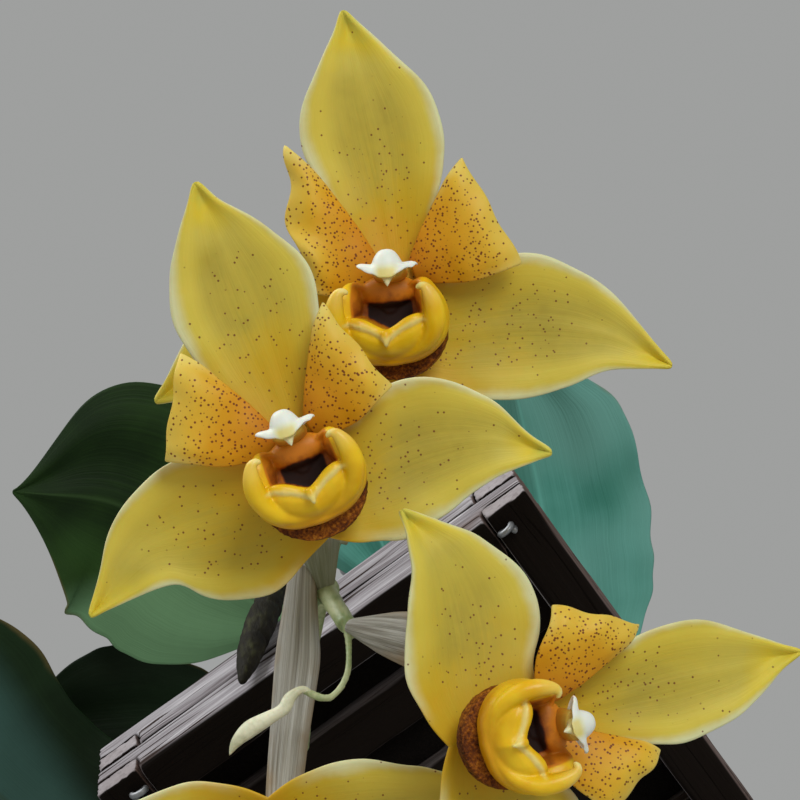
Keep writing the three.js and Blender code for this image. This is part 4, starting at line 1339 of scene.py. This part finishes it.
def leaf(name, bulb, rib, halves, sides):
    midrib = curve(rib, natural=True)
    seed = bulb[0]

    def surface(u, v):
        along = heading(midrib, u)
        across = along.cross(Vector((0, 0, 1))).normalized()
        up = across.cross(along)
        side = 2 * v - 1
        half = max(between(halves, u), 0.4)
        fold = abs((PLEATS * abs(side) + 1) % 2 - 1) - 0.5
        fold = 0.5 * math.sin(math.pi * fold)
        lift = sides * side * side * math.sin(math.pi * u) + 2.2 * fold * min(1, half / 20)
        keel = -1.5 * math.exp(-((side / 0.07) ** 2)) * min(1, half / 20)
        wave = 3.2 * lumps((30 * u, 4 * side, seed), 5) * side * side
        frayed = 1 + 0.06 * lumps((u * 60, seed + side, 0), 5)
        return midrib(u) + across * (side * half * frayed) + up * (lift + keel + wave)

    foot = Vector((*bulb, BULB_TOP_Z))
    stalk = curve([foot, foot + Vector((0, 0, 14)), midrib(0), midrib(0.14)], natural=True)
    parts = [
        thin("blade", surface, 44, 24, LEAF_T),
        tube("stalk", stalk, lambda u: between([3.4, 2.6, 2.6, 1.4], u), 36, 16),
    ]
    return merged(name, *parts)


# Copies of one leaf finish with painted light: the dark ones stand for shade, the blue green one for a leaf
# that catches the sky, the left one is dark with a painted teal sheen, and the mid green one is half lit.
shade_painted_leaf = leaf_finish("shade_painted_leaf", (0.004, 0.012, 0.003), (0.01, 0.026, 0.009), (0.016, 0.034, 0.02))
shade_painted_leaf_with_sheen = leaf_finish(
    "shade_painted_leaf_with_sheen", (0.004, 0.014, 0.003), (0.012, 0.032, 0.01), (0.02, 0.045, 0.026), (0.045, 0.11, 0.09)
)
shaded_leaf = leaf_finish("shaded_leaf", (0.006, 0.02, 0.003), (0.02, 0.055, 0.008), (0.035, 0.09, 0.02))
sky_lit_painted_leaf = leaf_finish("sky_lit_painted_leaf", (0.05, 0.24, 0.18), (0.11, 0.36, 0.3), (0.16, 0.4, 0.34))
half_lit_painted_leaf = leaf_finish("half_lit_painted_leaf", (0.06, 0.17, 0.08), (0.15, 0.28, 0.14), (0.2, 0.36, 0.22))
LEAF_LOOKS = {
    "leaf_front_left": shaded_leaf,
    "leaf_left": shade_painted_leaf_with_sheen,
    "leaf_right": sky_lit_painted_leaf,
    "leaf_front": sky_lit_painted_leaf,
    "leaf_back_left": half_lit_painted_leaf,
    "leaf_back": half_lit_painted_leaf,
}

# Where the sky shines through a leaf: a direction, and how far along it that begins and is complete, in mm
LIT = {
    "leaf_front_left": (DOWN + 0.35 * RIGHT, -38, -18),
    "leaf_left": (0.6 * DOWN - RIGHT, 140, 162),
}
for shape in LEAVES:
    piece = leaf(shape["name"] + "_living", **{k: v for k, v in shape.items() if k != "name"})
    if shape["name"] in LIT:
        way, begin, full = LIT[shape["name"]]
        paint(piece, "lit", lambda p: smooth_step(way.dot(p) / MM, begin, full))
        reach = [way.dot(v.co) / MM for v in piece.data.vertices]
        print(shape["name"], "reaches from", round(min(reach)), "to", round(max(reach)))
    show(piece, shape["name"], LEAF_LOOKS.get(shape["name"], shade_painted_leaf))
print("leaves:", len(LEAVES))

# %% [markdown]
# ## Wooden slats
# The slats are old timber, grey where the sun bleached it, with furrows along the grain, knots and worn
# corners.
# Painted shade makes them almost black underneath, dark brown all over on the bottom slats and brown on the
# sides facing +X. The CAD slats have the right joints, so their meshes are copied and remeshed, and the
# points are then pushed in along the grain. Cutting each furrow with a boolean would be slow. Fine grain is
# left to a bump.

# %% Wooden slats
SLAT_VOXEL = 1.45
FURROW_WIDTH, FURROW_DEPTH = 3.6, 0.45
WEAR_WIDTH = 24


def wood_finish(name, axis, bottom_shade=0):
    """Weathered wood whose grain runs along X (axis 0) or Y (axis 1), with painted shade: almost black
    underneath, brown on the sides facing +X, and dark brown all over for the bottom slats.
    """
    finish = Finish(name, Specular_IOR_Level=0.08)
    stretch = [1.0, 1.0, 1.0]
    stretch[axis] = 0.04
    knotty = finish.noise(finish.place(), 22, 2)
    spot = finish.place(stretch)
    broad = finish.noise(spot, 140, 4, 0.6)
    fine = finish.noise(spot, 700, 4, 0.65)
    cracks = finish.noise(spot, 320, 2).over(0.36, 0.44)
    body = finish.ramp(
        0.5 * broad + 0.5 * fine,
        (0.34, (0.06, 0.045, 0.045)),
        (0.45, (0.26, 0.235, 0.25)),
        (0.55, (0.46, 0.44, 0.465)),
        (0.68, (0.74, 0.71, 0.74)),
    )
    facing = finish.node("NewGeometry", {}, {}, "Normal")
    end = abs(finish.node("SeparateXYZ", {}, {0: facing}, axis)).over(0.6, 0.85)
    body = finish.mix(knotty.over(0.56, 0.74), body, (0.13, 0.07, 0.045))
    body = finish.mix(1 - cracks, body, (0.04, 0.026, 0.022))
    body = finish.mix(0.75 * end, body, (0.4, 0.36, 0.37))
    # Painted shade: the sides facing +X turn brown.
    shade_side = finish.node("SeparateXYZ", {}, {0: facing}, 0).over(0.5, 0.9)
    body = finish.mix(0.85 * shade_side, body, finish.mix(fine, (0.03, 0.014, 0.008), (0.15, 0.085, 0.06)))
    height = finish.node("SeparateXYZ", {}, {0: facing}, 2)
    # Painted shade: faces that look down turn almost black.
    shade_under = (0 - height + (broad - 0.5) * 0.5).over(0.2, 0.7)
    # Painted shade: the bottom slats turn dark brown all over.
    body = finish.mix(bottom_shade, body, finish.mix(fine, (0.012, 0.007, 0.005), (0.07, 0.048, 0.038)))
    body = finish.mix(shade_under, body, (0.007, 0.0045, 0.0032))
    finish.bump((0.6 * broad + 0.5 * fine + 0.5 * cracks) * (1 - 0.85 * end), 0.8, 0.0014)
    return finish.finished(body, 0.7 + 0.25 * fine)


wood_x = wood_finish("weathered_wood_x", 0)
wood_y = wood_finish("weathered_wood_y", 1)
# The bottom slats' copy, with painted shade all over.
bottom_shade_wood = wood_finish("bottom_shade_wood", 0, 0.85)


def slat(node, axis, finish):
    piece = cad_copy(node, f"{node}_weathered")
    add_modifier(piece, "REMESH", mode="VOXEL", voxel_size=SLAT_VOXEL * MM, use_smooth_shade=True)
    add_modifier(piece, "SMOOTH", factor=0.5, iterations=2)
    settle(piece)
    seed = sum(map(ord, node)) % 17

    def furrow(p):
        grain = Vector(p)
        grain[axis] *= 0.05
        groove = 1 - smooth_step(abs(lumps(grain, FURROW_WIDTH, seed)), 0.0, 0.16)
        worn = lumps(p, WEAR_WIDTH, seed)
        return -0.1 - FURROW_DEPTH * groove + 0.22 * lumps(grain, 1.9, seed) + 0.2 * worn

    roughen(piece, furrow)
    show(piece, node, finish)
    return piece


slats = []
for layer in (1, 2):
    for place in ("front", "back"):
        slats.append(slat(f"slat_{layer}_{place}", 0, wood_x))
    for place in ("left", "right"):
        slats.append(slat(f"slat_{layer}_{place}", 1, wood_y))
for number in range(1, 5):
    slats.append(slat(f"bottom_slat_{number}", 0, bottom_shade_wood))
print("slats:", len(slats), "with", sum(len(piece.data.polygons) for piece in slats), "faces")

# %% [markdown]
# ## Wires and hook
# Stiff galvanised wire goes up from an eyelet under each corner to a small turned collar, and a bent rod
# makes the hook. A curve with a round bevel would draw a wire quickest, but it has flat ends. The same tube
# that made the stalks gives them round ends here.

# %% Wires and hook
RIM_Z = -317
FLOOR_Z = -363
WIRE_X, WIRE_Y, WIRE_R = 70.5, 74.5, 1
EYELET_R = 2.2
EYELET_STEPS, EYELET_TURNS, EYELET_RISE = 16, 1.12, 0.06
COLLAR_HOLE = 4.6
COLLAR_BOTTOM, COLLAR_TOP, COLLAR_R = -68, -54, 8.5
HOOK_R, BOW_R, BOW_Z = 2, 13, -11
CORNERS = [("front_left", -1, -1), ("front_right", 1, -1), ("back_right", 1, 1), ("back_left", -1, 1)]


def wire_finish():
    finish = Finish("galvanised_wire", Metallic=1.0, Roughness=0.45)
    clouds = finish.noise(finish.place(), 260, 4)
    rust = finish.noise(finish.place(), 70, 4).over(0.58, 0.7)
    body = finish.mix(clouds, (0.2, 0.21, 0.22), (0.42, 0.43, 0.44))
    finish.bump(clouds, 0.3, 0.0003)
    return finish.finished(finish.mix(0.7 * rust, body, (0.16, 0.07, 0.03)), 0.35 + 0.3 * clouds)


galvanised = wire_finish()


def wire(name, points, radius):
    """A round wire along points, with rounded ends."""
    line = curve(points, natural=True)
    steps = 4 * len(points)
    return tube(name, line, lambda u: radius, 2 * steps, 16)


for place, x, y in CORNERS:
    low = FLOOR_Z - GAP - WIRE_R
    eye = Vector((x * (WIRE_X - EYELET_R), y * WIRE_Y, low))
    loop = []
    for step in range(EYELET_STEPS + 1):
        turn = 2 * math.pi * step / EYELET_STEPS * EYELET_TURNS
        loop.append(eye + Vector((x * math.cos(turn), EYELET_RISE * step, -math.sin(turn))) * EYELET_R)
    run = [
        (x * WIRE_X, y * WIRE_Y, low),
        (x * WIRE_X, y * WIRE_Y, 0.5 * (low + RIM_Z)),
        (x * WIRE_X, y * WIRE_Y, RIM_Z + 2),
        (x * (WIRE_X - 1), y * (WIRE_Y - 1), RIM_Z + 6),
        (x * 0.5 * (WIRE_X + COLLAR_HOLE), y * 0.5 * (WIRE_Y + COLLAR_HOLE), 0.5 * (RIM_Z + COLLAR_BOTTOM)),
        (x * (COLLAR_HOLE + 1), y * (COLLAR_HOLE + 1), COLLAR_BOTTOM - 7),
        (x * COLLAR_HOLE, y * COLLAR_HOLE, COLLAR_BOTTOM - 3),
        (x * COLLAR_HOLE, y * COLLAR_HOLE, COLLAR_BOTTOM + 8.6),
    ]
    piece = merged(f"wire_{place}_drawn", wire("run", run, WIRE_R), wire("loop", loop, WIRE_R))
    show(piece, f"wire_{place}", galvanised)

bpy.ops.object.select_all(action="DESELECT")
bpy.ops.mesh.primitive_cylinder_add(
    vertices=48,
    radius=COLLAR_R * MM,
    depth=(COLLAR_TOP - COLLAR_BOTTOM) * MM,
    location=(0, 0, 0.5 * (COLLAR_TOP + COLLAR_BOTTOM) * MM),
)
collar = bpy.context.object
add_modifier(collar, "BEVEL", width=1.1 * MM, segments=3, limit_method="ANGLE")
settle(collar)
bow = [(0, 0, COLLAR_TOP - 2), (0, 0, -46), (0, 0, -38), (1.5, 0, -32), (8, 0, -22)]
for step in range(11):
    turn = math.radians(-20 + 23.5 * step)
    bow.append((BOW_R * math.cos(turn), 0, BOW_Z + BOW_R * math.sin(turn)))
hook = merged("hook_bent", collar, wire("bow", bow, HOOK_R))
show(hook, "hook", galvanised)
print("wires: 4, hook: 1")

# %% [markdown]
# ## Bulbs, moss and the old shoot
# Under the leaves sit ribbed green bulbs on a creeping root, in a bed of damp moss. Moss could be thousands
# of strands, but it hardly shows, so it is the CAD bed remeshed and pushed into hummocks. The old shoot,
# which hangs over the front rim, is a tube with bark.

# %% Bulbs
BULB_FOOT_Z = -322.7
BULB_H = 46
BULB_R = 12.5
BULB_RIBS = 7
RHIZOME_R = 4.4
BULB_PROFILE = [0.3, 0.72, 0.93, 1.0, 0.99, 0.92, 0.8, 0.64, 0.48, 0.36, 0.3]
GROWTH = [
    "leaf_back", "leaf_back_left", "leaf_left", "leaf_left_back",
    "leaf_front_left", "leaf_front", "leaf_right",
]


def bulb_finish():
    finish = Finish("bulb_skin", Roughness=0.5)
    clouds = finish.noise(finish.place(), 60, 4)
    fibres = finish.noise(finish.place((1, 1, 0.08)), 500, 3)
    dry = (clouds * 0.6 + fibres * 0.4).over(0.5, 0.62)
    body = finish.mix(clouds, (0.05, 0.12, 0.02), (0.16, 0.25, 0.06))
    body = finish.mix(0.8 * dry, body, (0.3, 0.23, 0.13))
    finish.bump(fibres, 0.5, 0.0008)
    return finish.finished(body, 0.4 + 0.35 * fibres)


def bulb(name, x, y):
    line = curve([(x, y, BULB_FOOT_Z + BULB_H * i / 4) for i in range(5)])

    def ribs(u, turn):
        wave = 0.08 * math.cos(BULB_RIBS * turn + 0.3 * x)
        skin = lumps((8 * math.cos(turn), 8 * math.sin(turn), 30 * u), 5, x)
        return wave * math.sin(math.pi * u) + 0.03 * skin

    return tube(name, line, lambda u: BULB_R * between(BULB_PROFILE, u), 36, 56, ribs)


def rhizome_skin(u, turn):
    return 0.1 * lumps((200 * u, turn, 0), 3)


places = [next(shape["bulb"] for shape in LEAVES if shape["name"] == name) for name in GROWTH]
rhizome = curve([(x, y, RIM_Z + 4) for x, y in places], natural=True)
parts = [bulb(f"bulb_{i}", x, y) for i, (x, y) in enumerate(places)]
parts.append(tube("rhizome", rhizome, lambda u: RHIZOME_R, 120, 20, rhizome_skin))
show(merged("bulbs_living", *parts), "bulbs", bulb_finish())
print("bulbs:", len(places))

# %% Moss
MOSS_VOXEL = 1.3
BED_BOTTOM, BED_HALF = -330, 62


def moss_finish():
    finish = Finish("damp_moss", Roughness=0.95, Specular_IOR_Level=0.1)
    clouds = finish.noise(finish.place(), 40, 4)
    fine = finish.noise(finish.place(), 900, 4, 0.7)
    body = finish.ramp(
        0.5 * clouds + 0.5 * fine,
        (0.35, (0.02, 0.014, 0.006)),
        (0.5, (0.1, 0.08, 0.025)),
        (0.62, (0.2, 0.19, 0.06)),
    )
    # Painted shade: faces that look down turn almost black.
    facing = finish.node("NewGeometry", {}, {}, "Normal")
    height = finish.node("SeparateXYZ", {}, {0: facing}, 2)
    body = finish.mix((0 - height).over(0.2, 0.7), body, (0.008, 0.006, 0.005))
    finish.bump(fine, 1.0, 0.002)
    return finish.finished(body)


moss = cad_copy("moss", "moss_living")
add_modifier(moss, "REMESH", mode="VOXEL", voxel_size=MOSS_VOXEL * MM, use_smooth_shade=True)
settle(moss)


def hummock(p):
    inside = 1 if p.z > BED_BOTTOM and max(abs(p.x), abs(p.y)) < BED_HALF else 0.1
    return inside * (1.6 * lumps(p, 9) + 1.2 * lumps(p, 3.4, 4) + 0.5 * lumps(p, 1.6, 8) - 0.4)


roughen(moss, hummock)
show(moss, "moss", moss_finish())
print("moss:", len(moss.data.polygons), "faces")

# %% Old shoot
SHOOT = [
    (5, -55, -326), (5, -56.5, -316), (3, -64, -301), (0, -76, -297.5), (-3.6, -85.4, -304),
    (-6.8, -86.2, -312), (-9.6, -86.2, -323), (-13, -86.2, -335), (-16.6, -86, -349),
    (-20.2, -85.2, -362), (-22.6, -84.4, -370),
]
SHOOT_RADII = [3.6, 3.6, 3.7, 3.8, 4, 4.4, 4.7, 4.7, 4.3, 3.3, 1.4]


def shoot_finish():
    finish = Finish("old_bark", Specular_IOR_Level=0.2)
    clouds = finish.noise(finish.place(), 90, 4)
    fine = finish.noise(finish.place((1, 1, 0.2)), 600, 4)
    body = finish.ramp(
        0.5 * clouds + 0.5 * fine,
        (0.38, (0.005, 0.004, 0.002)),
        (0.54, (0.014, 0.012, 0.005)),
        (0.68, (0.05, 0.052, 0.022)),
    )
    finish.bump(fine, 0.8, 0.0012)
    return finish.finished(body, 0.6 + 0.3 * fine)


piece = tube(
    "old_shoot_living",
    curve(SHOOT, natural=True),
    lambda u: between(SHOOT_RADII, u),
    110,
    36,
    lambda u, turn: 0.1 * lumps((90 * u, 2 * math.cos(turn), 2 * math.sin(turn)), 2.4)
    - 0.09 * smooth_step(math.sin(34 * u), 0.9, 1),
)
show(piece, "old_shoot", shoot_finish())
print("old shoot:", len(piece.data.polygons), "faces")
